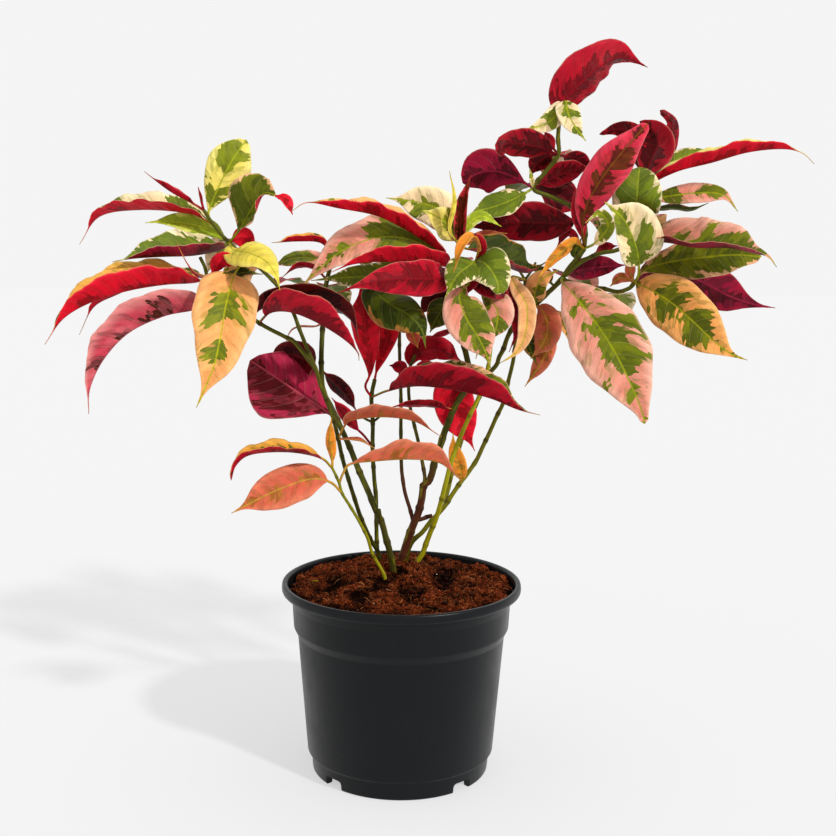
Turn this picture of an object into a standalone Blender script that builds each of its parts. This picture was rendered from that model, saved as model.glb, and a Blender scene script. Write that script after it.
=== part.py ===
"""Variegated croton shrub in a plastic nursery pot.

The pot stands on the ground with its axis on +Z and its origin at the centre of its foot. The
viewer's side is -Y. Stems and leaves are laid out as they are seen from the front: each point
of a stem or a midrib is (across, up, back) in millimetres, where across and up are read on the
upright plane through the pot's axis, and back moves the point along its line of sight.
"""

import math
import random
from typing import NamedTuple

import bmesh
import bpy
from mathutils import Vector

MM = 0.001

# The eye that the layout is read from, in millimetres.
EYE_DISTANCE = 900.0
EYE_HEIGHT = 393.5

# Pot, in millimetres. Radii are of the outer face.
RIM_RADIUS = 85.0
RIM_TOP = 137.5
RIM_DEPTH = 6.5
RIM_THICKNESS = 4.4
RIM_EDGE = 1.5
BAND_RADIUS = 77.8
BAND_FOOT = 105.7
BODY_RADIUS = 73.6
BODY_TOP = 100.0
LEDGE_RADIUS = 66.7
LEDGE_HEIGHT = 14.4
LEDGE_EDGE = 1.2
FOOT_RADIUS = 63.2
FOOT_EDGE = 0.8
FOOT_THICKNESS = 2.5
WALL = 2.6
FLOOR = 3.0
GUTTER_HEIGHT = 7.5
GUTTER_OUTER = 58.0
GUTTER_INNER = 32.0
GUTTER_SLOPE = 1.0
NOTCH_WIDTH = 16.0
NOTCH_HEIGHT = 7.0
NOTCH_CORNER = 2.0
NOTCH_COUNT = 4
FIRST_NOTCH = 43.0
DRAIN_RADIUS = 4.5
DRAIN_COUNT = 8
OVERCUT = 1.0
POT_SEGMENTS = 40
POT_COLOUR = (0.018, 0.019, 0.020)
POT_FINISH = 0.42

# Soil, in millimetres.
SOIL_LEVEL = 132.0
SOIL_MOUND = 8.5
MOUND_X = -2.0
MOUND_Y = 26.0
MOUND_SPREAD = 44.0
SOIL_ROUGHNESS = 1.1
SOIL_RINGS = 6
SOIL_SEGMENTS = 25
SOIL_COLOUR = (0.10, 0.03, 0.012)
SOIL_FINISH = 0.95
CLEARANCE = 0.3
WALL_GAP = 0.6
ROOT_LEVEL = 112.0
HOLE_SIDES = 12
HOLE_OPENING = 20.0

# Stems and leaves, in millimetres.
STEM_SIDES = 6
TWIG_SIDES = 5
CURVE_STEPS = 16
THIN_STEM = 1.7
LONG_STALK = 12.0
STALK_HALF_WIDTH = 1.0
STALK_THICKNESS = 1.8
BLADE = 0.8
ROW_SPACING = 18.0
FEWEST_ROWS = 3
MOST_ROWS = 6
TIP_HALF_WIDTH = 0.6
FULL_FOLD_FROM = 3.0
EDGE_WAVE = 0.05
FULLNESS = 0.85
FINE_STEPS = 80
STEEPEST_FOLD = 0.6
LEAF_FINISH = 0.45

# Face value of a leaf whose upper face looks at the sky.
UPWARD = None

SHARP_ANGLE = 35
SEED = 41


class Stem(NamedTuple):
    """A stem or a branch: radius at its foot and at its end, then its points."""

    foot_radius: float
    end_radius: float
    points: tuple


class Leaf(NamedTuple):
    """One leaf.

    width: widest part of the blade.
    fold: how far both halves are raised from flat, in degrees.
    face: where the upper face looks at the base, middle and tip: 0 at the viewer, 90 up, 180 away.
        UPWARD stands for a leaf that is laid out under the sky instead.
    points: midrib from the stem to the tip.
    stalk: bare length before the blade.
    widest: where along the blade it is widest.
    tip: share of the width left at the tip, 0 for a drawn-out one.
    """

    name: str
    width: float
    fold: float
    face: tuple
    points: tuple
    stalk: float
    widest: float
    tip: float


def stem(foot_radius, end_radius, *points):
    return Stem(foot_radius, end_radius, points)


def leaf(name, width, fold, face, *points, stalk=6.0, widest=0.42, tip=0.0):
    return Leaf(name, width, fold, face, points, stalk, widest, tip)


# Thin stem in front on the left, with the lowest leaves.
FRONT_LEFT_STEMS = (
    stem(1.35, 0.95, (-12, 139.4, 2), (-20.7, 156, -2), (-24.5, 168, -6), (-30.5, 180, -10),
         (-37, 191, -14), (-42.5, 200, -18), (-44.5, 207, -20), (-47, 213, -23), (-49.5, 218, -24)),
)
FRONT_LEFT_LEAVES = (
    leaf("low_arch", 20, 34, (70, 71, 90), (-49.5, 218, -24), (-58, 225.5, -30), (-80, 229.5, -44),
         (-106, 227.5, -57), (-117, 219.5, -61), (-120.5, 208.5, -62), stalk=12, tip=0.3),
    leaf("low_flat", 28, 5, (10, 10, 10), (-42.5, 200, -18), (-51, 208, -24), (-65, 210, -30),
         (-90, 201, -38), (-120.5, 185, -44), stalk=16),
    leaf("low_upright", 8, 20, (160, 160, 160), (-49.5, 218, -24), (-49.5, 226, -25),
         (-51, 238, -27), (-50, 254, -30), stalk=5),
    leaf("low_pink_arch", 28, 40, (115, 120, 110), (-44.5, 207, -20), (-42, 214, -22), (-37, 221, -24),
         (-20, 223.5, -28), (5, 225, -32), (26, 222.5, -34), (41, 210, -35), stalk=18, widest=0.55),
)

# Left stem, forked just above the soil. Its left arm carries the left head.
LEFT_STEMS = (
    stem(1.7, 1.2, (-16, 154.5, 55), (-17.5, 159, 54), (-20.7, 164, 50), (-24.5, 171.5, 44),
         (-29.7, 184, 36), (-33, 194, 30), (-36.8, 206, 22), (-42.3, 225, 12), (-45.3, 239, 6),
         (-49.4, 255, 0), (-57, 275, -4), (-61, 288, -6), (-66, 300, -6), (-72, 315, -4),
         (-77, 328, 0), (-88, 346, 4), (-105, 362, 6), (-120, 374, 4), (-131, 387, 3), (-137, 396, 2)),
    stem(1.5, 1.2, (-61, 288, -6), (-75, 306, -8), (-82, 310, -8), (-100, 319.5, -8),
         (-115, 332, -6), (-126, 343, -4), (-134.5, 350, -4), (-137, 358, -6), (-140, 364, -7)),
    stem(1.6, 1.5, (-17.5, 159, 54), (-18, 168, 52), (-18.3, 183, 50), (-18.7, 198.5, 48),
         (-19.9, 210, 46), (-21.2, 231.5, 42), (-21.2, 251, 40), (-22.2, 268.5, 38), (-20, 281, 36)),
    stem(1.0, 0.8, (-21.2, 251, 40), (-26, 253, 37), (-32, 257, 34)),
    stem(1.0, 0.8, (-21.2, 251, 40), (-17, 254.5, 38), (-14, 259, 36)),
)
LEFT_LEAVES = (
    leaf("cream_arch", 28, 43, (70, 75, 90), (-131, 387, 3), (-147, 394, 8), (-180, 396, 20),
         (-208, 391, 30), (-222, 372, 36)),
    leaf("red_spike", 8, 60, (85, 90, 90), (-137, 396, 2), (-146, 401.5, -2), (-160, 409, -6),
         (-177, 421.5, -10)),
    leaf("red_bud", 4, 30, (60, 60, 60), (-137, 396, 2), (-139, 404, 0), (-140.5, 411.5, -2), stalk=3),
    leaf("yellow_upright", 29, 5, (5, 5, 5), (-131, 387, 3), (-134, 393, 4), (-131, 402, 4),
         (-125.5, 414, 4), (-117, 430, 7), (-107.5, 443, 13), stalk=8, widest=0.58, tip=0.5),
    leaf("green_peach_top", 42, 39, (36, 36, 36), (-120, 374, 4), (-113, 383, 0), (-107, 393, -5),
         (-101, 402.5, -10), (-95, 408, -14), (-86, 405.5, -18), stalk=10, widest=0.62),
    leaf("light_green", 16, 25, (15, 15, 40), (-120, 374, 4), (-127, 379, 10), (-135, 383.5, 14),
         (-150, 387, 16), (-165, 388, 14), (-177, 387, 12), stalk=5),
    leaf("green_over_crimson", 36, 47, (66, 66, 80), (-120, 374, 4), (-128, 369, -6),
         (-145, 365.5, -20), (-165, 364.5, -32), (-185, 363, -42), (-200, 360.5, -48)),
    leaf("big_red", 40, 55, (65, 78, 92), (-134.5, 350, -4), (-145, 347, -10), (-165, 345.5, -26),
         (-190, 341, -44), (-215, 333, -58), (-235, 321, -66), (-248, 303, -70)),
    leaf("under_big_red", 20, 50, (85, 85, 90), (-134.5, 350, -4), (-150, 351, 12), (-175, 347, 24),
         (-198, 338, 32), (-214, 329, 36), (-224, 310, 38)),
    leaf("pink_underside", 40, 39, (115, 115, 110), (-126, 343, -4), (-140, 330, -10),
         (-165, 324, -22), (-190, 312, -34), (-208, 293, -42), (-218, 272, -46), (-219, 255, -47)),
    leaf("hanging_peach", 43, 8, (0, 0, 0), (-108, 364, 6), (-114, 357, -6), (-118, 349, -18),
         (-123, 330, -32), (-127, 308, -42), (-132, 288, -48), (-144, 260, -52), stalk=24, widest=0.27),
    leaf("crimson_fan", 54, 14, (197, 197, 197), (-49.4, 255, 0), (-58, 261.5, 3), (-75, 272.5, 8),
         (-92, 284, 11), (-106.5, 293.5, 14), stalk=2, widest=0.6, tip=0.6),
    leaf("behind_crimson_fan", 24, 10, (150, 150, 150), (-61, 288, -6), (-66, 293, 12), (-76, 297, 22),
         (-86, 297, 29), (-97, 291, 32)),
    leaf("yellow_bent", 25, -5, (40, 40, 40), (-120, 374, 4), (-117, 369, -10), (-106, 367, -26),
         (-95, 361.5, -36), (-88, 352, -41), (-85.5, 342, -43)),
    leaf("crimson_curl", 15, 5, (170, 170, 170), (-120, 374, 4), (-115.5, 376.5, 5), (-109.5, 377.5, 7),
         (-102.5, 373.5, 8), stalk=3, tip=0.35),
    leaf("crimson_small", 13, 10, (150, 150, 150), (-134.5, 350, -4), (-130, 356, -8),
         (-124, 362, -11), (-110, 361, -13)),
    leaf("dark_small", 13, 10, (60, 60, 60), (-134.5, 350, -4), (-124, 350, -6), (-112, 353.5, -8),
         (-97, 353, -10)),
    leaf("orange_thread", 4, 20, (90, 90, 90), (-134.5, 350, -4), (-145, 355, -30), (-151, 364, -42),
         (-155.5, 373, -46), stalk=12),
    leaf("crimson_behind_stems", 10, 10, (170, 170, 170), (-21, 233, 42), (-27, 241, 40),
         (-33, 247, 38), (-40, 256, 36), (-50, 268, 34), stalk=18),
    leaf("maroon_arch", 32, 15, (120, 120, 120), (-104, 323, -8), (-101, 328, -12), (-90, 334, -16),
         (-70, 335.5, -16), (-50, 332, -14), (-36, 322, -8), (-31, 308, -6)),
    leaf("crimson_arch", 36, 45, (85, 105, 110), (-100, 319.5, -8), (-92, 327, -18),
         (-78, 327.5, -32), (-60, 320.5, -42), (-42, 309.5, -46), (-32, 300, -47), (-31, 294, -47),
         stalk=10),
    leaf("long_crimson", 44, 58, (80, 82, 82), (-22.2, 268.5, 38), (-10, 273.5, 22), (10, 277, 2),
         (35, 274.5, -14), (60, 269, -24), (80, 261, -29), (96, 257, -31), stalk=22, widest=0.5),
    leaf("red_upright", 18, 30, (0, 0, 0), (-20, 281, 36), (-18.5, 288, 32), (-14.5, 300, 28),
         (-10, 318, 26), (-8, 335, 26), (-7, 347, 27), stalk=3, widest=0.6),
    leaf("red_upright_left", 23, 20, (170, 170, 170), (-22.2, 268.5, 38), (-26.5, 276, 30),
         (-23.5, 285, 24), (-24.5, 300, 20), (-27, 318, 18), (-29, 338, 18), (-30.5, 350, 20), stalk=20,
         widest=0.6),
    leaf("red_tip_left", 9, 15, (40, 40, 40), (-88, 406, -17), (-83, 404.5, -19), (-79.5, 400, -21),
         (-76.5, 393.5, -22), stalk=1),
    leaf("low_orange_arch", 24, 30, (100, 100, 100), (-45.3, 239, 6), (-41, 248, -2), (-36, 252.5, -8),
         (-15, 255, -18), (8, 252, -24), (27, 241, -27), stalk=16),
    leaf("low_dark_orange", 7, 20, (70, 70, 70), (-45.3, 239, 6), (-36, 238.5, -2), (-28, 237, -6),
         (-20, 232.5, -9), stalk=3),
    leaf("back_upper_left", 26, 12, UPWARD, (-120, 374, 4), (-119, 376, 24), (-127, 366, 44),
         (-138, 350, 56)),
    leaf("back_under_peach", 28, 12, UPWARD, (-108, 364, 6), (-110, 358, 26), (-118, 338, 40),
         (-123, 312, 44)),
    leaf("back_middle_left", 18, 12, UPWARD, (-88, 346, 4), (-82, 349, 28), (-70, 346, 46),
         (-54, 338, 54)),
)

# Middle left stem, with the stub of a pruned shoot.
MIDDLE_LEFT_STEMS = (
    stem(2.5, 1.5, (-6, 144.6, 17), (-8.4, 157, 15), (-11.4, 168, 14), (-14.4, 179, 14),
         (-18.9, 188.5, 14), (-24.1, 201.5, 14), (-30.1, 215, 14), (-36.8, 232, 14),
         (-40.8, 241, 14), (-45.3, 251, 15), (-50.5, 262, 17), (-55.8, 273, 18), (-57, 287, 19),
         (-57, 300, 22), (-56, 320, 28), (-54, 345, 32), (-49, 366, 30), (-47.5, 379, 28)),
    stem(1.6, 1.5, (-14.4, 179, 14), (-15.8, 184, 12), (-16.6, 188.5, 10.5)),
)
MIDDLE_LEFT_LEAVES = (
    leaf("orange_red_left", 13, 50, (80, 80, 80), (-49, 366, 30), (-57, 375, 26), (-72, 376, 22),
         (-91, 374.5, 18)),
    leaf("pink_green_left", 17, 5, (50, 50, 50), (-49, 366, 30), (-60, 364, 36), (-75, 364, 42),
         (-92, 358, 46)),
    leaf("crimson_narrow_left", 9, 10, (120, 120, 120), (-53.5, 350, 32), (-62, 357.5, 20),
         (-74, 358.5, 14), (-84, 351, 10)),
    leaf("maroon_right_of_stem", 15, 5, (140, 140, 140), (-57, 287, 19), (-49, 280, 22),
         (-40, 270, 24), (-32, 258, 24), stalk=4),
    leaf("pale_red_tip", 6, 20, (90, 90, 90), (-56, 320, 28), (-62, 317.5, 34), (-73, 317, 38),
         (-79, 313, 40), (-82.5, 303, 40), stalk=4),
    leaf("back_upper", 28, 12, UPWARD, (-49, 366, 30), (-44, 369, 54), (-32, 364, 76), (-18, 350, 90)),
    leaf("back_lower", 24, 12, UPWARD, (-54, 345, 32), (-51, 345, 54), (-44, 337, 74), (-34, 325, 84)),
)

# Old brown stem in the middle, with two thin side stems, a stub and the middle head.
BROWN_STEMS = (
    stem(3.1, 1.6, (-0.6, 148.5, 28), (3.5, 165, 27), (8, 178, 26), (11.5, 187, 26), (13.7, 197, 25),
         (14.9, 206, 24), (18.4, 209, 24), (20.7, 215, 24), (22.9, 225.5, 24), (26.6, 236, 24),
         (28.9, 244, 23), (31.9, 252, 22), (35, 260, 21), (39, 268, 20), (43, 274, 19),
         (46, 285, 18), (43, 300, 17), (38, 320, 16), (34, 340, 14), (34, 358, 10), (38, 373, 8)),
    stem(1.35, 1.15, (14.9, 206, 24), (15.6, 212, 26), (13.7, 223, 28), (10.6, 238, 31), (7.6, 250, 33),
         (4.8, 262, 35), (3.6, 274, 36), (4, 288, 36), (8, 298, 34)),
    stem(1.4, 1.15, (8, 178, 26), (6, 187, 30), (2, 200, 34), (0.2, 210, 36), (-0.9, 220, 38),
         (-1.5, 244, 40), (-1.7, 269, 41), (-2.6, 290, 41), (-3, 303, 40), (-4, 320, 38),
         (-12, 337, 32), (-22, 350, 24)),
    stem(1.7, 1.3, (9.5, 181, 26), (14, 182, 27), (17, 183.3, 28), (21, 184.6, 28.5)),
)
BROWN_LEAVES = (
    leaf("long_red_top", 22, 56, (81, 81, 85), (34, 358, 10), (29, 366, 4), (20, 373, -2), (0, 385, -12),
         (-20, 394, -20), (-45, 398.5, -28), (-66, 402, -34), (-77, 396, -36), stalk=12),
    leaf("pink_green_big", 34, 10, (35, 35, 35), (34, 358, 10), (10, 375, 2), (-15, 379, -4),
         (-40, 371, -8), (-58, 357, -10), (-73.5, 342, -11), stalk=10),
    leaf("red_middle", 30, 28, (110, 110, 110), (34, 358, 10), (20, 361.5, -8), (0, 362.5, -20),
         (-20, 362.5, -28), (-38, 360, -33), (-51, 354.5, -35)),
    leaf("crimson_big", 25, 8, (170, 170, 170), (34, 358, 10), (26, 352, -16), (10, 351, -38),
         (-10, 350.5, -50), (-30, 346.5, -57), (-46, 340.5, -60)),
    leaf("dark_green_hanging", 33, -25, (20, 20, 20), (-22, 350, 24), (-20, 342, 10), (-9, 333, 0),
         (3, 326, -6), (12, 316.5, -10), (15.3, 303, -13), stalk=4),
    leaf("green_behind_crimson", 22, 5, (20, 20, 20), (34, 358, 10), (10, 352, 12), (-20, 352, 14),
         (-45, 351, 15), (-64, 349, 15)),
    leaf("cream_green_back", 28, 5, (10, 10, 10), (38, 373, 8), (34, 386, 13), (23, 398, 17),
         (8, 403, 22), (-13, 405.5, 28)),
    leaf("yellow_green", 22, 5, (20, 20, 20), (38, 373, 8), (34, 382, 2), (27, 390, -2), (18, 395, -4),
         (11.5, 397.5, -5)),
    leaf("crimson_upright", 14, 50, (5, 5, 5), (38, 373, 8), (38, 385, 0), (39, 402, -5),
         (44.5, 421.5, -8), stalk=4),
    leaf("yellow_red_young", 7, 20, (60, 60, 60), (38, 373, 8), (30, 386, -12), (33, 406, -16),
         (30, 424, -16), stalk=14),
    leaf("olive_tip", 9, 10, (20, 20, 20), (38, 373, 8), (42, 386, 10), (52, 394, 10), (66, 387, 8)),
    leaf("dark_green_right", 40, 43, (61, 61, 61), (38, 373, 8), (52, 369, 13), (70, 360, 17),
         (85, 356, 17), (98, 364, 15)),
    leaf("coral_right", 8, 5, (150, 150, 150), (38, 373, 8), (46, 378, 20), (58, 382, 27),
         (70, 382.5, 28)),
    leaf("crimson_pair_upper", 22, 5, (30, 30, 30), (4, 288, 36), (8, 299, 40), (24, 303, 40),
         (42, 293, 38), stalk=3),
    leaf("crimson_pair_lower", 12, 5, (160, 160, 160), (4, 286, 36), (14, 289, 28), (30, 287, 22)),
    leaf("crimson_pair_left", 10, 5, (160, 160, 160), (4, 288, 36), (-3, 290, 32), (-10, 291, 30),
         stalk=2),
    leaf("dark_orange_hanging", 20, 5, (20, 20, 20), (34, 342, 14), (28, 333, 16), (22, 323, 18),
         (18, 314, 18)),
    leaf("maroon_hanging", 16, 5, (160, 160, 160), (34, 345, 13), (27, 342, 22), (18, 335, 26),
         (10, 325, 28)),
    leaf("pale_red_hanging", 11, 5, (160, 160, 160), (-4, 320, 38), (4, 316, 36), (10, 303, 34)),
    leaf("crimson_strip", 8, 5, (120, 120, 120), (38, 320, 16), (34, 316, 22), (26, 313, 24),
         (16, 310, 26)),
    leaf("red_hanging", 31, 8, (10, 10, 10), (45, 287, 18), (37, 280, 26), (34.5, 268, 29),
         (40, 253, 30), (50.5, 231, 30), widest=0.38),
    leaf("crimson_low_small", 12, 10, (120, 120, 120), (35, 260, 21), (24, 262.5, 14), (10, 264, 8),
         (-2, 263, 4), (-10, 261, 2)),
    leaf("back_of_head", 28, 12, UPWARD, (34, 358, 10), (35, 363, 34), (26, 360, 54), (10, 350, 66)),
    leaf("back_of_side_stem", 22, 12, UPWARD, (-4, 320, 38), (-5, 326, 56), (-9, 324, 74),
         (-14, 310, 82)),
)

# Yellow-green stem right of the middle.
YELLOW_STEMS = (
    stem(2.1, 1.0, (10, 148, 32), (14.7, 157, 30), (17.7, 166, 28), (21.4, 176, 24), (23.6, 181.5, 22),
         (26.6, 191.5, 18), (28.9, 201.5, 15), (31.1, 211, 13), (33.7, 222, 12), (36.7, 231.5, 11),
         (40, 240.5, 10), (43.8, 250, 9), (47.5, 258.5, 8), (52.8, 270, 7), (57, 283, 6),
         (60, 300, 6), (60, 320, 6), (54, 340, 6), (49, 364, 5)),
)
YELLOW_LEAVES = (
    leaf("pink_green_hanging", 30, 0, (5, 5, 5), (50, 352, 4), (41, 345, -8), (38, 338, -13),
         (43, 324, -17), (51, 312, -19), (57, 300, -20), (60.5, 289.5, -20), stalk=14, widest=0.45),
    leaf("pink_green_inner", 24, 0, (0, 0, 0), (54, 340, 6), (60, 336, -2), (64.5, 329, -7),
         (64, 319, -11), (60, 307, -13), stalk=3, widest=0.35),
    leaf("crimson_behind_cream", 22, 10, (20, 20, 20), (49, 364, 5), (50, 356, 2), (56, 349, -2),
         (66, 343, -4), (75, 337, -3), stalk=5, widest=0.4),
    leaf("crimson_behind_left", 16, 10, (20, 20, 20), (49, 364, 5), (46, 354, 0), (40, 345, -3),
         (33, 336, -4), stalk=4),
    leaf("cream_edge_left", 22, 5, (20, 20, 20), (49, 364, 5), (44, 360, -12), (36, 353, -22),
         (28, 338, -26), stalk=6),
    leaf("cream_edge_right", 29, 5, (15, 15, 15), (49, 364, 5), (55, 362, -10), (61, 355, -16),
         (64.5, 347, -19), (64, 340.5, -20), stalk=4, tip=0.45),
    leaf("orange_fold", 12, 20, (100, 60, 40), (49, 364, 5), (50.5, 373, -8), (45, 379, -20),
         (38.5, 371, -28), (33.5, 355, -31), stalk=10),
    leaf("crimson_bit", 7, 10, (160, 160, 160), (49, 364, 5), (53, 371, -6), (51, 379, -12),
         (45, 383, -14), stalk=8),
    leaf("back_of_stem", 18, 12, UPWARD, (60, 320, 6), (58, 320, 26), (54, 311, 42), (50, 296, 48)),
)

# Right stem, forked above the soil, with the right head and the tall top shoot.
RIGHT_STEMS = (
    stem(1.9, 1.3, (2.9, 153, 43), (7.2, 165.5, 40), (14, 172, 38), (20, 180, 36), (25, 185.5, 35),
         (30.4, 192, 34), (34.9, 199.5, 34), (40.8, 208.5, 35), (46, 215.5, 36), (52, 225, 38),
         (55.7, 233.5, 40), (60.2, 243.5, 42), (65.4, 256, 44), (69.9, 266, 46), (73, 281, 47),
         (76, 295, 46), (78, 312, 42), (83, 332, 36), (83, 351, 30)),
    stem(1.5, 1.8, (30.4, 192, 34), (30.8, 197, 36), (32.6, 206, 38), (34.1, 212, 40), (36, 220, 42),
         (40, 235, 44), (44, 248, 44), (50, 262, 44), (55, 275, 44), (59, 285, 43), (64.5, 292, 42),
         (66, 297, 41), (69, 303, 40), (72, 312, 38), (78, 323, 34), (85, 330, 30), (90.5, 333.7, 27),
         (97.5, 341, 24), (103.4, 346.5, 22), (109, 353, 19), (113.2, 359.6, 16),
         (117.4, 364.7, 14), (123, 372.7, 10)),
    stem(1.5, 1.4, (109, 353, 19), (119.6, 362.5, 14), (127.5, 367, 12), (135.5, 370, 10),
         (145, 371.8, 8), (156, 378, 8), (162, 392, 10), (164, 406, 12), (162, 420, 14)),
    stem(1.6, 1.4, (108, 352, 19), (122, 347, 20), (137, 345.5, 16), (147, 343.5, 12), (155, 346, 8),
         (158.3, 350, 6)),
    stem(1.6, 1.4, (123, 372.7, 10), (123.4, 380, 9), (123.4, 386, 9), (121, 394, 14),
         (112, 402, 22), (98, 408, 26), (87, 413, 24), (95, 424, 20), (103.5, 435.5, 16),
         (103, 447, 14), (104, 460, 12), (107.5, 472, 10)),
    stem(1.0, 0.8, (83, 351, 30), (79, 357, 29), (76, 362, 28)),
    stem(1.0, 0.8, (83, 351, 30), (87, 357, 29), (90, 363, 28)),
)
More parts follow.
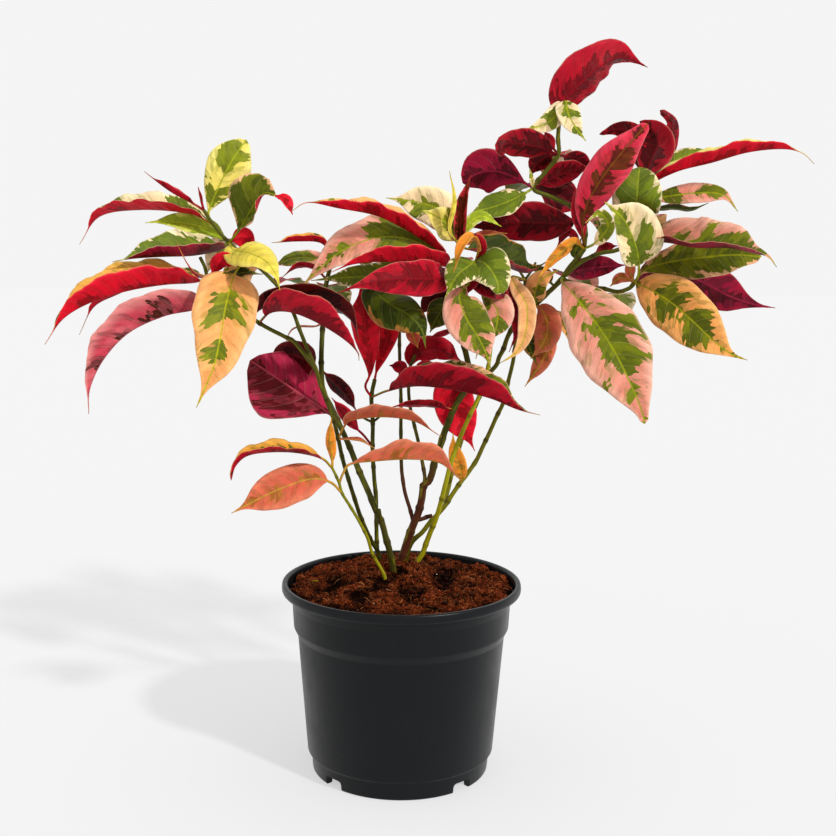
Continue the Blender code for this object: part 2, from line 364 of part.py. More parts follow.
RIGHT_LEAVES = (
    leaf("orange_green_big", 38, 5, (5, 5, 5), (158.3, 350, 6), (170, 345, -6), (185, 336, -18),
         (200, 323.5, -30), (214, 311, -38), (227, 301.5, -43), (239, 297, -45), stalk=2),
    leaf("pink_green_front", 49, 5, (0, 0, 0), (109, 353, 19), (108.5, 350, 6), (117, 341, -8),
         (132, 323, -24), (147, 301, -38), (160, 276, -47), (167, 260, -52), (169, 251.5, -54),
         stalk=14, widest=0.52, tip=0.12),
    leaf("dark_crimson_right", 37, 8, (170, 170, 170), (158.3, 350, 6), (172, 356, 22), (188, 357, 34),
         (205, 351, 42), (225, 341, 48), (243, 335.5, 52), (256.5, 333.5, 54)),
    leaf("green_pink_edge", 31, 5, (20, 20, 20), (158.3, 350, 6), (166, 359, 8), (184, 364.5, 4),
         (205, 367.5, -2), (226, 369.5, -8), (245, 368.5, -12), widest=0.56, tip=0.4),
    leaf("pink_cream_big", 42, 42, (57, 57, 60), (156, 378, 8), (167, 378.5, 4), (182, 377.5, -6),
         (200, 374.5, -18), (222, 374.5, -26), (240, 371, -30), (250, 368.5, -32),
         (256, 361.5, -32)),
    leaf("cream_green_front", 42, 28, (28, 28, 28), (158.3, 350, 6), (161, 356, -2), (160, 369, -10),
         (155.5, 382, -16), (148, 394.5, -20), (136, 404.5, -22), stalk=18),
    leaf("green_cream_round", 33, 5, (-5, -5, -5), (162, 392, 10), (158, 396, -4), (158, 408, -14),
         (158.5, 419, -12), (159, 428, 0), stalk=1, widest=0.48, tip=0.45),
    leaf("cream_curl", 11, 10, (20, 20, 20), (123, 372.7, 10), (131, 377, -12), (139, 388, -28),
         (133, 397, -34), (123, 390, -36), stalk=20),
    leaf("pink_green_right", 15, 5, (20, 20, 20), (164, 406, 12), (178, 408.5, 6), (198, 411, 2),
         (217, 410, -1), (227.5, 399, -3)),
    leaf("dark_olive_right", 9, 10, (120, 120, 120), (163, 398, 11), (180, 401, 16), (195, 400, 19),
         (207, 404.5, 20)),
    leaf("long_red_right", 20, 60, (85, 85, 85), (164, 406, 12), (168, 417, 4), (185, 426, -4),
         (208, 432, -12), (232, 439, -18), (255, 441.5, -22), (269, 439, -23), (278, 431.5, -23),
         stalk=12),
    leaf("green_over_red", 15, 5, (40, 40, 40), (164, 406, 12), (171, 424, 20), (188, 435, 24),
         (212, 441, 26), stalk=16),
    leaf("dark_top_middle", 25, 8, (165, 165, 165), (162, 420, 14), (167, 433, 18), (171, 444, 22),
         (167, 453, 24), (158, 458.5, 24), stalk=4, tip=0.2),
    leaf("dark_top_right", 15, 8, (160, 160, 160), (162, 420, 14), (173, 434, 34), (179.5, 448, 44),
         (180, 458.5, 47), (171.5, 466, 47), stalk=8, tip=0.35),
    leaf("dark_top_left", 18, 8, (165, 165, 165), (162, 420, 14), (161, 436, 26), (154, 449, 34),
         (143, 453, 38), (131, 449.5, 40), tip=0.15),
    leaf("pink_veined", 27, 8, (10, 10, 10), (123, 372.7, 10), (121.5, 386, 0), (124, 402, -8),
         (133, 419, -14), (147, 438, -16), (163.5, 457, -14), stalk=16, widest=0.52, tip=0.3),
    leaf("crimson_left_of_pink", 11, 10, (170, 170, 170), (123, 372.7, 10), (121, 386, 4),
         (118.5, 400, 2), (121, 412, 1), (127, 425, 0), stalk=8),
    leaf("dark_crimson_upper", 20, 8, (150, 150, 150), (87, 413, 24), (100, 420, 24), (113, 425, 26),
         (127, 428, 28)),
    leaf("dark_crimson_lower", 28, 5, (20, 20, 20), (87, 413, 24), (95, 412, 36), (108, 407, 44),
         (122, 396, 48)),
    leaf("crimson_wide", 30, 6, (160, 160, 160), (121, 394, 14), (110, 390, 18), (95, 390, 24),
         (78, 390, 28), (58, 388, 31), (41, 386, 32)),
    leaf("green_red_edge", 24, 5, (40, 40, 40), (87, 413, 24), (75, 406, 22), (60, 400, 20),
         (48, 397, 18), (43, 394, 17)),
    leaf("crimson_top_left", 29, 8, (170, 170, 170), (87, 413, 24), (77, 419, 26), (63, 424, 28),
         (50, 423, 30), (39, 416, 31), widest=0.6, tip=0.8),
    leaf("dark_oval", 16, 8, (160, 160, 160), (103.5, 435.5, 16), (97, 435, 22), (89, 429, 28),
         (84.5, 421, 30)),
    leaf("pale_strip", 4, 5, (20, 20, 20), (87, 413, 24), (86, 419, 18), (84.3, 426, 16), stalk=2),
    leaf("dark_right_of_node", 14, 8, (150, 150, 150), (103.5, 435.5, 16), (112, 434, 24),
         (120, 430, 30), (128, 423, 34)),
    leaf("dark_red_left", 22, 15, (160, 160, 160), (103.5, 435.5, 16), (92, 440, 8), (78, 442.5, 0),
         (66, 442, -8), (65, 434, -10), tip=0.35),
    leaf("mauve_small", 9, 5, (160, 160, 160), (103.5, 435.5, 16), (98, 443, 22), (93.5, 452, 26)),
    leaf("cream_top_right", 17, 5, (15, 15, 15), (107.5, 472, 10), (109.5, 463, 0), (114, 455, -6),
         (122, 445, -10), stalk=1, widest=0.32),
    leaf("cream_top_left", 15, 5, (10, 10, 10), (107.5, 472, 10), (102, 462.5, 8), (93.5, 455.5, 6),
         (79.5, 452, 4), stalk=1, widest=0.32),
    leaf("top_crimson", 37, 28, (152, 152, 152), (104, 460, 12), (108, 471, 9), (113.5, 479, 7),
         (121.5, 487, 6), (131, 495, 8), (141, 500, 12), (150.5, 499, 18), (162, 494, 25), stalk=2,
         widest=0.34),
    leaf("purple_behind", 18, 8, (160, 160, 160), (109, 353, 19), (120, 358, 28), (136, 360.5, 36),
         (153, 362, 42)),
    leaf("crimson_behind_right", 8, 5, (160, 160, 160), (127.5, 367, 12), (136, 373, 16),
         (146, 375, 18)),
    leaf("dark_green_small", 8, 5, (20, 20, 20), (117.4, 364.7, 14), (117, 371, 18), (121, 380, 22),
         stalk=2),
    leaf("orange_drop", 10, 10, (150, 150, 150), (123, 372.7, 10), (117, 377, -2), (110, 372.5, -10),
         (101, 364, -15), (91.5, 352, -18), stalk=8),
    leaf("red_brown_drop", 8, 10, (150, 150, 150), (123, 372.7, 10), (116, 381, 20), (110, 383, 26),
         (104, 373, 28), stalk=8),
    leaf("peach_upright", 17, 5, (20, 20, 20), (90.5, 333.7, 27), (90, 342, 16), (94, 351, 10),
         (106, 358, 6), stalk=4),
    leaf("peach_curve", 13, 10, (0, 0, 0), (83, 351, 30), (74, 353, 14), (77, 346, 4), (84, 335, -1),
         (85, 323, -3), (83, 310, -4), (77, 300, -6), (66.5, 293, -8), stalk=20),
    leaf("crimson_beside_peach", 12, 5, (165, 165, 165), (83, 351, 30), (77, 350, 23), (71.5, 344, 12),
         (75, 336, 4), (77.5, 325, 1), (77.3, 313, 0), (73, 301, -1), stalk=12, widest=0.25),
    leaf("coral_hanging", 21, 5, (10, 10, 10), (90.5, 333.7, 27), (96, 329.5, 20), (99.5, 319, 14),
         (97, 308, 10), (88, 296.5, 8), stalk=3),
    leaf("orange_behind_yellow", 12, 10, (0, 0, 0), (40.4, 208, 35), (41.5, 214, 30), (38, 225, 26),
         (35.5, 235, 23), (35, 244, 22), stalk=4),
    leaf("coral_tail", 13, 8, (170, 170, 170), (90.5, 333.7, 27), (99, 324, 23), (101, 308, 18),
         (97, 297, 14), (92, 288, 12), (84.5, 277, 11), stalk=20),
    leaf("olive_behind_coral", 12, 5, (20, 20, 20), (90.5, 333.7, 27), (87, 322, 18), (86, 309, 14),
         (89, 300, 12), (93, 291.5, 11), stalk=8),
    leaf("small_red_tip", 14, 15, (30, 30, 30), (90.5, 333.7, 27), (103, 325, 34), (112, 319, 37),
         (114.8, 306.5, 38)),
    leaf("brown_upright", 8, 10, (20, 20, 20), (158.3, 350, 6), (155, 358, 2), (156, 369, 0), stalk=3),
    leaf("brown_left", 8, 10, (20, 20, 20), (158.3, 350, 6), (149, 353, 8), (141.5, 347, 10),
         stalk=3),
    leaf("dark_green_behind", 12, 5, (20, 20, 20), (103.4, 346.5, 22), (98, 352, 31), (93, 357, 37),
         (87, 358, 40)),
    leaf("back_of_fork", 30, 12, UPWARD, (109, 353, 19), (114, 355, 46), (124, 348, 72),
         (132, 332, 86)),
    leaf("back_of_lower_head", 28, 12, UPWARD, (147, 343.5, 12), (148, 338, 34), (144, 323, 54),
         (138, 303, 62)),
    leaf("back_of_side_head", 30, 12, UPWARD, (162, 392, 10), (163, 394, 36), (168, 388, 62),
         (176, 374, 78)),
    leaf("back_of_side_top", 26, 12, UPWARD, (162, 420, 14), (158, 421, 42), (150, 416, 68),
         (140, 400, 84)),
    leaf("back_of_top_node", 24, 12, UPWARD, (103.5, 435.5, 16), (102, 436, 40), (98, 428, 62),
         (96, 412, 72)),
    leaf("back_of_bend", 26, 12, UPWARD, (87, 413, 24), (83, 416, 50), (76, 412, 76), (66, 400, 92)),
    leaf("back_of_upper_head", 22, 12, UPWARD, (121, 394, 14), (127, 396, 42), (131, 392, 64),
         (134, 380, 78)),
)

# Each leafy stem: its node's name, stems, leaves and colour.
SHOOTS = (
    ("leafy_stem_front_left", FRONT_LEFT_STEMS, FRONT_LEFT_LEAVES, (0.62, 0.30, 0.18)),
    ("leafy_stem_left", LEFT_STEMS, LEFT_LEAVES, (0.60, 0.10, 0.10)),
    ("leafy_stem_middle_left", MIDDLE_LEFT_STEMS, MIDDLE_LEFT_LEAVES, (0.45, 0.25, 0.10)),
    ("leafy_stem_brown", BROWN_STEMS, BROWN_LEAVES, (0.50, 0.06, 0.08)),
    ("leafy_stem_yellow", YELLOW_STEMS, YELLOW_LEAVES, (0.45, 0.42, 0.12)),
    ("leafy_stem_right", RIGHT_STEMS, RIGHT_LEAVES, (0.58, 0.22, 0.20)),
)


def seen(point):
    """World position, in millimetres, of a point laid out as (across, up, back)."""
    across, up, back = point
    scale = (EYE_DISTANCE + back) / EYE_DISTANCE
    return Vector((across * scale, back, EYE_HEIGHT + (up - EYE_HEIGHT) * scale))


def curve_through(points, count):
    """Points at even steps of arc length on a smooth curve through the given ones."""
    ends = [2 * points[0] - points[1]] + list(points) + [2 * points[-1] - points[-2]]
    fine = []
    for a, b, c, d in zip(ends, ends[1:], ends[2:], ends[3:]):
        for step in range(CURVE_STEPS):
            t = step / CURVE_STEPS
            fine.append(0.5 * (2 * b + (c - a) * t + (2 * a - 5 * b + 4 * c - d) * t**2
                               + (3 * b - a - 3 * c + d) * t**3))
    fine.append(points[-1])
    along = [0.0]
    for here, there in zip(fine, fine[1:]):
        along.append(along[-1] + (there - here).length)
    picked = []
    index = 0
    for number in range(count):
        wanted = along[-1] * number / (count - 1)
        while index < len(fine) - 2 and along[index + 1] < wanted:
            index += 1
        span = max(along[index + 1] - along[index], 1e-9)
        picked.append(fine[index].lerp(fine[index + 1], (wanted - along[index]) / span))
    return picked, along[-1]


def tangents(points):
    found = []
    for index in range(len(points)):
        before = points[max(index - 1, 0)]
        after = points[min(index + 1, len(points) - 1)]
        found.append((after - before).normalized())
    return found


def mesh_object(name, mesh, collection):
    """An object of this bmesh, whose points are in millimetres, in metres."""
    bmesh.ops.scale(mesh, vec=(MM, MM, MM), verts=mesh.verts)
    bmesh.ops.recalc_face_normals(mesh, faces=mesh.faces)
    data = bpy.data.meshes.new(name)
    mesh.to_mesh(data)
    mesh.free()
    made = bpy.data.objects.new(name, data)
    collection.objects.link(made)
    return made


def tube(name, points, foot_radius, end_radius, sides, collection):
    """A closed round rod along the points."""
    mesh = bmesh.new()
    directions = tangents(points)
    side = directions[0].orthogonal().normalized()
    rings = []
    for index, (point, direction) in enumerate(zip(points, directions)):
        side = (side - direction * side.dot(direction)).normalized()
        up = direction.cross(side)
        radius = foot_radius + (end_radius - foot_radius) * index / (len(points) - 1)
        ring = []
        for number in range(sides):
            angle = math.tau * number / sides
            ring.append(mesh.verts.new(point + radius * (math.cos(angle) * side + math.sin(angle) * up)))
        rings.append(ring)
    for ring, after in zip(rings, rings[1:]):
        for number in range(sides):
            other = (number + 1) % sides
            mesh.faces.new((ring[number], ring[other], after[other], after[number]))
    mesh.faces.new(rings[0][::-1])
    mesh.faces.new(rings[-1])
    return mesh_object(name, mesh, collection)


def blade_width(fraction, widest, tip):
    """Half width at this fraction of the blade, 1 at its widest."""
    power = math.log(0.5) / math.log(widest)
    body = max(0.0, math.sin(math.pi * fraction**power)) ** FULLNESS
    return body * (1 - fraction**7) + tip * fraction**4


def turned(values, fraction):
    """The value at this fraction of the way through base, middle and tip."""
    if values is UPWARD:
        return UPWARD
    base, middle, tip = values
    if fraction < 0.5:
        return base + (middle - base) * fraction * 2
    return middle + (tip - middle) * (fraction * 2 - 1)


def blade_frame(point, direction, face, heading):
    """The blade's normal and the direction across it, where the upper face looks as told."""
    if face is UPWARD:
        across = direction.cross(Vector((0.0, 0.0, 1.0))).normalized()
        return across.cross(direction), across
    eye = Vector((0.0, -EYE_DISTANCE, EYE_HEIGHT))
    sight = (eye - point).normalized()
    upward = direction.cross(sight).normalized() * heading
    towards = (upward.cross(direction) * heading).normalized()
    angle = math.radians(face)
    normal = math.cos(angle) * towards + math.sin(angle) * upward
    return normal, normal.cross(direction).normalized()


def leaf_rows(plan):
    """Rows of a leaf from stem to tip: half width, thickness, fold, face, midrib point, direction."""
    points = [seen(point) for point in plan.points]
    fine, length = curve_through(points, FINE_STEPS + 1)
    directions = tangents(fine)
    bare = plan.stalk / length
    blade_rows = max(FEWEST_ROWS, min(MOST_ROWS, round((length - plan.stalk) / ROW_SPACING)))
    stalk_rows = 2 if plan.stalk > LONG_STALK else 1
    fractions = [bare * step / stalk_rows for step in range(stalk_rows)]
    fractions += [bare + (1 - bare) * row / blade_rows for row in range(blade_rows + 1)]
    rows = []
    for fraction in fractions:
        place = round(FINE_STEPS * fraction)
        along = max(0.0, (fraction - bare) / (1 - bare))
        half = max(plan.width / 2 * blade_width(along, plan.widest, plan.tip), TIP_HALF_WIDTH)
        thickness = BLADE
        if fraction < bare + 0.001:
            half = STALK_HALF_WIDTH
            thickness = STALK_THICKNESS
        fold = math.radians(plan.fold) * min(1.0, (half / FULL_FOLD_FROM) ** 2)
        rows.append((half, thickness, fold, turned(plan.face, along), fine[place], directions[place]))
    return rows


def add_leaf(plan, collection):
    """A leaf, one thin folded solid whose stalk starts in the middle of its stem."""
    heading = 1 if plan.points[-1][0] < plan.points[0][0] else -1
    draw = random.Random(plan.name)
    mesh = bmesh.new()
    tops = []
    bottoms = []
    for half, thickness, fold, face, point, direction in leaf_rows(plan):
        normal, across = blade_frame(point, direction, face, heading)
        top = []
        bottom = []
        for side in (-1, 0, 1):
            reach = half * (1 + EDGE_WAVE * draw.uniform(-1, 1)) * abs(side)
            outward = side * across
            edge = point + reach * (math.cos(fold) * outward + math.sin(fold) * normal)
            through = normal * math.cos(fold) - outward * math.sin(fold)
            if side == 0:
                through = normal / max(math.cos(fold), STEEPEST_FOLD)
            top.append(mesh.verts.new(edge + through * thickness / 2))
            bottom.append(mesh.verts.new(edge - through * thickness / 2))
        tops.append(top)
        bottoms.append(bottom)
    join_blade(mesh, tops, bottoms)
    return mesh_object(plan.name, mesh, collection)


def join_blade(mesh, tops, bottoms):
    """Faces of a blade, split into triangles alike on both faces."""
    last = len(tops) - 1
    for row in range(last):
        for column in (0, 1):
            split_face(mesh, tops, row, column)
            split_face(mesh, bottoms, row, column)
        for column in (0, 2):
            a, b = tops[row][column], tops[row + 1][column]
            c, d = bottoms[row + 1][column], bottoms[row][column]
            mesh.faces.new((a, b, c))
            mesh.faces.new((a, c, d))
    for row in (0, last):
        for column in (0, 1):
            a, b = tops[row][column], tops[row][column + 1]
            c, d = bottoms[row][column + 1], bottoms[row][column]
            mesh.faces.new((a, b, c))
            mesh.faces.new((a, c, d))


def split_face(mesh, grid, row, column):
    a, b = grid[row][column], grid[row][column + 1]
    c, d = grid[row + 1][column + 1], grid[row + 1][column]
    if column == 0:
        mesh.faces.new((a, b, d))
        mesh.faces.new((b, c, d))
    else:
        mesh.faces.new((a, b, c))
        mesh.faces.new((a, c, d))


def add_stem(name, plan, foot, collection):
    """A stem. The one that stands in the soil also gets its hidden, upright foot."""
    points = [seen(point) for point in plan.points]
    if foot:
        top = points[0]
        points.insert(0, Vector((top.x, top.y, (top.z + ROOT_LEVEL) / 2)))
        points.insert(0, Vector((top.x, top.y, ROOT_LEVEL)))
    sides = STEM_SIDES if plan.foot_radius > THIN_STEM else TWIG_SIDES
    return tube(name, points, plan.foot_radius, plan.end_radius, sides, collection)


def union(base, collection):
    """Joins all the collection's objects to the base in one solid, then removes them."""
    join = base.modifiers.new("join", "BOOLEAN")
    join.operation = "UNION"
    join.operand_type = "COLLECTION"
    join.collection = collection
    join.solver = "EXACT"
    graph = bpy.context.evaluated_depsgraph_get()
    joined = bpy.data.meshes.new_from_object(base.evaluated_get(graph))
    base.modifiers.remove(join)
    base.data = joined
    for part in list(collection.objects):
        bpy.data.objects.remove(part)
    bpy.data.collections.remove(collection)


def add_shoot(name, stems, leaves, colour):
    """One leafy stem: its stems, leaf stalks and leaves, grown together."""
    parts = bpy.data.collections.new(name + "_parts")
    bpy.context.scene.collection.children.link(parts)
    base = add_stem(name, stems[0], True, bpy.context.scene.collection)
    for number, plan in enumerate(stems[1:]):
        add_stem(f"{name}_branch_{number}", plan, False, parts)
    for plan in leaves:
        add_leaf(plan, parts)
    union(base, parts)
    paint(base, colour, LEAF_FINISH)
    return base


def paint(made, colour, roughness):
    material = bpy.data.materials.new(made.name)
    material.use_nodes = True
    shader = material.node_tree.nodes["Principled BSDF"]
    shader.inputs["Base Color"].default_value = (*colour, 1.0)
    shader.inputs["Roughness"].default_value = roughness
    made.data.materials.clear()
    made.data.materials.append(material)
    made.data.shade_smooth()
    made.data.set_sharp_from_angle(angle=math.radians(SHARP_ANGLE))


def turned_solid(name, profile, segments):
    """A solid turned about Z from a closed profile of (radius, height)."""
    mesh = bmesh.new()
    rings = []
    for radius, height in profile:
        if radius < 1e-6:
            rings.append([mesh.verts.new((0, 0, height))])
            continue
        ring = []
        for number in range(segments):
            angle = math.tau * number / segments
            ring.append(mesh.verts.new((radius * math.cos(angle), radius * math.sin(angle), height)))
        rings.append(ring)
    for ring, after in zip(rings, rings[1:]):
        for number in range(segments):
            other = (number + 1) % segments
            corners = [ring[number % len(ring)], ring[other % len(ring)]]
            corners += [after[other % len(after)], after[number % len(after)]]
            unique = list(dict.fromkeys(corners))
            if len(unique) > 2:
                mesh.faces.new(unique)
    return mesh_object(name, mesh, bpy.context.scene.collection)


def cut(target, cutter_mesh, name):
    """Cuts the helper's shape out of the target, and removes the helper."""
    helper = mesh_object(name, cutter_mesh, bpy.context.scene.collection)
    helper.hide_render = True
    helper.display_type = "WIRE"
    modifier = target.modifiers.new(name, "BOOLEAN")
    modifier.operation = "DIFFERENCE"
    modifier.object = helper
    modifier.solver = "EXACT"
    graph = bpy.context.evaluated_depsgraph_get()
    data = bpy.data.meshes.new_from_object(target.evaluated_get(graph))
    target.modifiers.remove(modifier)
    target.data = data
    bpy.data.objects.remove(helper)


def inner_radius(height):
    """Radius of the pot's inner wall at this height."""
    if height >= BODY_TOP:
        fraction = (height - BODY_TOP) / (RIM_TOP - BODY_TOP)
        return BODY_RADIUS - WALL + fraction * (RIM_RADIUS - RIM_THICKNESS - BODY_RADIUS + WALL)
    fraction = (height - LEDGE_HEIGHT) / (BODY_TOP - LEDGE_HEIGHT)
    return LEDGE_RADIUS - WALL + fraction * (BODY_RADIUS - LEDGE_RADIUS)


def add_pot():
    """The pot: rim, band, conical wall, ledge, foot ring, raised gutter and flat centre."""
    rim_foot = RIM_TOP - RIM_DEPTH
    floor_top = GUTTER_HEIGHT + FLOOR
    profile = [
        (0, 0),
        (GUTTER_INNER - GUTTER_SLOPE, 0),
        (GUTTER_INNER, GUTTER_HEIGHT),
        (GUTTER_OUTER - GUTTER_SLOPE, GUTTER_HEIGHT),
        (GUTTER_OUTER, 0),
        (FOOT_RADIUS - FOOT_EDGE, 0),
        (FOOT_RADIUS, FOOT_EDGE),
        (FOOT_RADIUS + FOOT_EDGE, LEDGE_HEIGHT - LEDGE_EDGE),
        (LEDGE_RADIUS, LEDGE_HEIGHT),
        (BODY_RADIUS, BODY_TOP),
        (BAND_RADIUS - 1.3, BAND_FOOT),
        (BAND_RADIUS, rim_foot - RIM_EDGE),
        (RIM_RADIUS - RIM_EDGE, rim_foot - 0.4),
        (RIM_RADIUS, rim_foot + RIM_EDGE),
        (RIM_RADIUS - 0.6, RIM_TOP - 0.9),
        (RIM_RADIUS - RIM_THICKNESS / 2, RIM_TOP),
        (RIM_RADIUS - RIM_THICKNESS + 0.8, RIM_TOP - 0.5),
        (RIM_RADIUS - RIM_THICKNESS, RIM_TOP - 2.2),
        (inner_radius(BODY_TOP), BODY_TOP),
        (inner_radius(LEDGE_HEIGHT), LEDGE_HEIGHT),
        (FOOT_RADIUS - FOOT_THICKNESS, floor_top),
        (0, floor_top),
    ]
    pot = turned_solid("pot", profile, POT_SEGMENTS)
    for number in range(NOTCH_COUNT):
        cut(pot, notch_cutter(FIRST_NOTCH + number * 360 / NOTCH_COUNT), f"notch_{number}")
    for number in range(DRAIN_COUNT):
        cut(pot, drain_cutter((number + 0.5) * 360 / DRAIN_COUNT), f"drain_{number}")
    paint(pot, POT_COLOUR, POT_FINISH)


def notch_cutter(degrees):
    """A block that opens the foot ring, with its top corners cut back."""
    mesh = bmesh.new()
    half = NOTCH_WIDTH / 2
    shoulder = NOTCH_HEIGHT - NOTCH_CORNER
    outline = [(-half, -OVERCUT), (half, -OVERCUT), (half, shoulder), (half - NOTCH_CORNER, NOTCH_HEIGHT),
               (NOTCH_CORNER - half, NOTCH_HEIGHT), (-half, shoulder)]
    near, far = GUTTER_OUTER - 4 * OVERCUT, FOOT_RADIUS + 6 * OVERCUT
    angle = math.radians(degrees)
    out = Vector((math.cos(angle), math.sin(angle), 0))
    side = Vector((-math.sin(angle), math.cos(angle), 0))
    rings = []
    for reach in (near, far):
        rings.append([mesh.verts.new(out * reach + side * across + Vector((0, 0, up)))
                      for across, up in outline])
    count = len(outline)
    for number in range(count):
        other = (number + 1) % count
        mesh.faces.new((rings[0][number], rings[0][other], rings[1][other], rings[1][number]))
    mesh.faces.new(rings[0])
    mesh.faces.new(rings[1])
    return mesh


def drain_cutter(degrees):
    angle = math.radians(degrees)
    reach = (GUTTER_INNER + GUTTER_OUTER) / 2
    centre = Vector((reach * math.cos(angle), reach * math.sin(angle), 0))
    return post(centre, GUTTER_HEIGHT - OVERCUT, GUTTER_HEIGHT + FLOOR + OVERCUT, DRAIN_RADIUS)


def post(centre, low, high, radius):
    """An upright prism, as a bmesh."""
    mesh = bmesh.new()
    rings = []
    for height in (low, high):
        ring = []
        for number in range(HOLE_SIDES):
            angle = math.tau * (number + 0.5) / HOLE_SIDES
            reach = radius / math.cos(math.pi / HOLE_SIDES)
            ring.append(mesh.verts.new((centre.x + reach * math.cos(angle),
                                        centre.y + reach * math.sin(angle), height)))
        rings.append(ring)
    for number in range(HOLE_SIDES):
        other = (number + 1) % HOLE_SIDES
        mesh.faces.new((rings[0][number], rings[0][other], rings[1][other], rings[1][number]))
    mesh.faces.new(rings[0])
    mesh.faces.new(rings[1])
    return mesh


def soil_height(x, y):
    """Height of the smooth soil surface, mounded round the stems."""
    away = math.hypot(x - MOUND_X, y - MOUND_Y) / MOUND_SPREAD
    return SOIL_LEVEL + SOIL_MOUND * math.exp(-away * away)


def add_soil():
    """The filling, a rough disc that fits inside the pot, with a plain hole for each stem."""
    mesh = bmesh.new()
    draw = random.Random(SEED)
    floor = GUTTER_HEIGHT + FLOOR + CLEARANCE
    foot_radius = FOOT_RADIUS - FOOT_THICKNESS - WALL_GAP
    top_radius = inner_radius(SOIL_LEVEL) - WALL_GAP
    rings = []
    for radius, height in ((foot_radius, floor), (inner_radius(LEDGE_HEIGHT) - WALL_GAP, LEDGE_HEIGHT + 1),
                           (inner_radius(BODY_TOP) - WALL_GAP, BODY_TOP)):
        rings.append(flat_ring(mesh, radius, height))
    for number in range(SOIL_RINGS):
        radius = top_radius * (1 - number / SOIL_RINGS)
        ring = []
        for step in range(SOIL_SEGMENTS):
            angle = math.tau * step / SOIL_SEGMENTS
            x, y = radius * math.cos(angle), radius * math.sin(angle)
            rough = SOIL_ROUGHNESS * draw.uniform(-1, 1)
            ring.append(mesh.verts.new((x, y, soil_height(x, y) + rough)))
        rings.append(ring)
    for ring, after in zip(rings, rings[1:]):
        for step in range(SOIL_SEGMENTS):
            other = (step + 1) % SOIL_SEGMENTS
            mesh.faces.new((ring[step], ring[other], after[other]))
            mesh.faces.new((ring[step], after[other], after[step]))
    mesh.faces.new(rings[0])
    middle = mesh.verts.new((0, 0, soil_height(0, 0)))
    for step in range(SOIL_SEGMENTS):
        mesh.faces.new((rings[-1][step], rings[-1][(step + 1) % SOIL_SEGMENTS], middle))
    soil = mesh_object("soil", mesh, bpy.context.scene.collection)
    for name, stems, _, _ in SHOOTS:
        foot = seen(stems[0].points[0])
        radius = stems[0].foot_radius + 2 * CLEARANCE
        cut(soil, post(foot, ROOT_LEVEL - CLEARANCE, foot.z + HOLE_OPENING, radius), name + "_hole")
    paint(soil, SOIL_COLOUR, SOIL_FINISH)


def flat_ring(mesh, radius, height):
    ring = []
    for step in range(SOIL_SEGMENTS):
        angle = math.tau * step / SOIL_SEGMENTS
        ring.append(mesh.verts.new((radius * math.cos(angle), radius * math.sin(angle), height)))
    return ring


def main():
    for made in list(bpy.data.objects):
        bpy.data.objects.remove(made)
    add_pot()
    add_soil()
    for name, stems, leaves, colour in SHOOTS:
        add_shoot(name, stems, leaves, colour)


main()
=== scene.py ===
# Variegated croton shrub in a plastic nursery pot, dressed over its plain solids.
# Lengths are in millimetres until a mesh is made. Points of stems and midribs are (across, up, back) as
# seen from the front: across and up are read on the upright plane through the pot's axis, back is depth.
import math
import random
import bpy
import bmesh
import numpy as np
from mathutils import Matrix, Vector, noise


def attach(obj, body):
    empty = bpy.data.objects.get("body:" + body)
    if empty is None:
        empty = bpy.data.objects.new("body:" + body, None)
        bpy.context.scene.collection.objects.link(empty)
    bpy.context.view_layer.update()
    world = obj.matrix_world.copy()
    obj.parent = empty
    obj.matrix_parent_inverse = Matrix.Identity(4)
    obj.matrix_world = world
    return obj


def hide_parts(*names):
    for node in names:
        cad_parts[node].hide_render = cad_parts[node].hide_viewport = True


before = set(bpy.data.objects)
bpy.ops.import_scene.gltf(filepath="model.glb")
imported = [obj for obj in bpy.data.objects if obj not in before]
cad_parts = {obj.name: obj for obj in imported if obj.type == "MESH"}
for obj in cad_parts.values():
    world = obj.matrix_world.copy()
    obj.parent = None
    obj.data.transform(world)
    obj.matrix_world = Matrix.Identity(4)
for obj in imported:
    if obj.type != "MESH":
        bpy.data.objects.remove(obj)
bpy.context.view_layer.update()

mm = 0.001
print("frame loaded with", len(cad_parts), "nodes")


# a colour as the web writes it, in linear light
def tint(code):
    shades = []
    for start in (0, 2, 4):
        value = int(code[start:start + 2], 16) / 255
        shades.append(value / 12.92 if value <= 0.04045 else ((value + 0.055) / 1.055) ** 2.4)
    return (*shades, 1.0)


def putInScene(name, data):
    made = bpy.data.objects.new(name, data)
    bpy.context.scene.collection.objects.link(made)
    return made


# a point on a ring round the pot's axis
def onRing(radius, angle, height=0.0):
    return radius * math.cos(angle), radius * math.sin(angle), height


# the eye that the plant is laid out from, which is also the camera
eye = {
    "distance": 900.0,
    "height": 393.5,
    "pitch": 8.8,       # degrees looked down
    "yaw": 0.66,
    "roll": 0.63,
    "focal": 1304.0,    # in pixels of the frame
    "frame": 836.0,
    "sensor": 36.0,
}


def makeCamera():
    pitch, yaw, roll = (math.radians(eye[key]) for key in ("pitch", "yaw", "roll"))
    forward = Vector((math.sin(yaw) * math.cos(pitch), math.cos(yaw) * math.cos(pitch), -math.sin(pitch)))
    level = Vector((math.cos(yaw), -math.sin(yaw), 0.0))
    upright = level.cross(forward)
    right = math.cos(roll) * level + math.sin(roll) * upright
    up = math.cos(roll) * upright - math.sin(roll) * level
    data = bpy.data.cameras.new("camera")
    data.sensor_width = eye["sensor"]
    data.lens = eye["focal"] / eye["frame"] * eye["sensor"]
    camera = putInScene("camera", data)
    place = Vector((0.0, -eye["distance"], eye["height"])) * mm
    camera.matrix_world = Matrix.Translation(place) @ Matrix((right, up, -forward)).transposed().to_4x4()
    bpy.context.scene.camera = camera


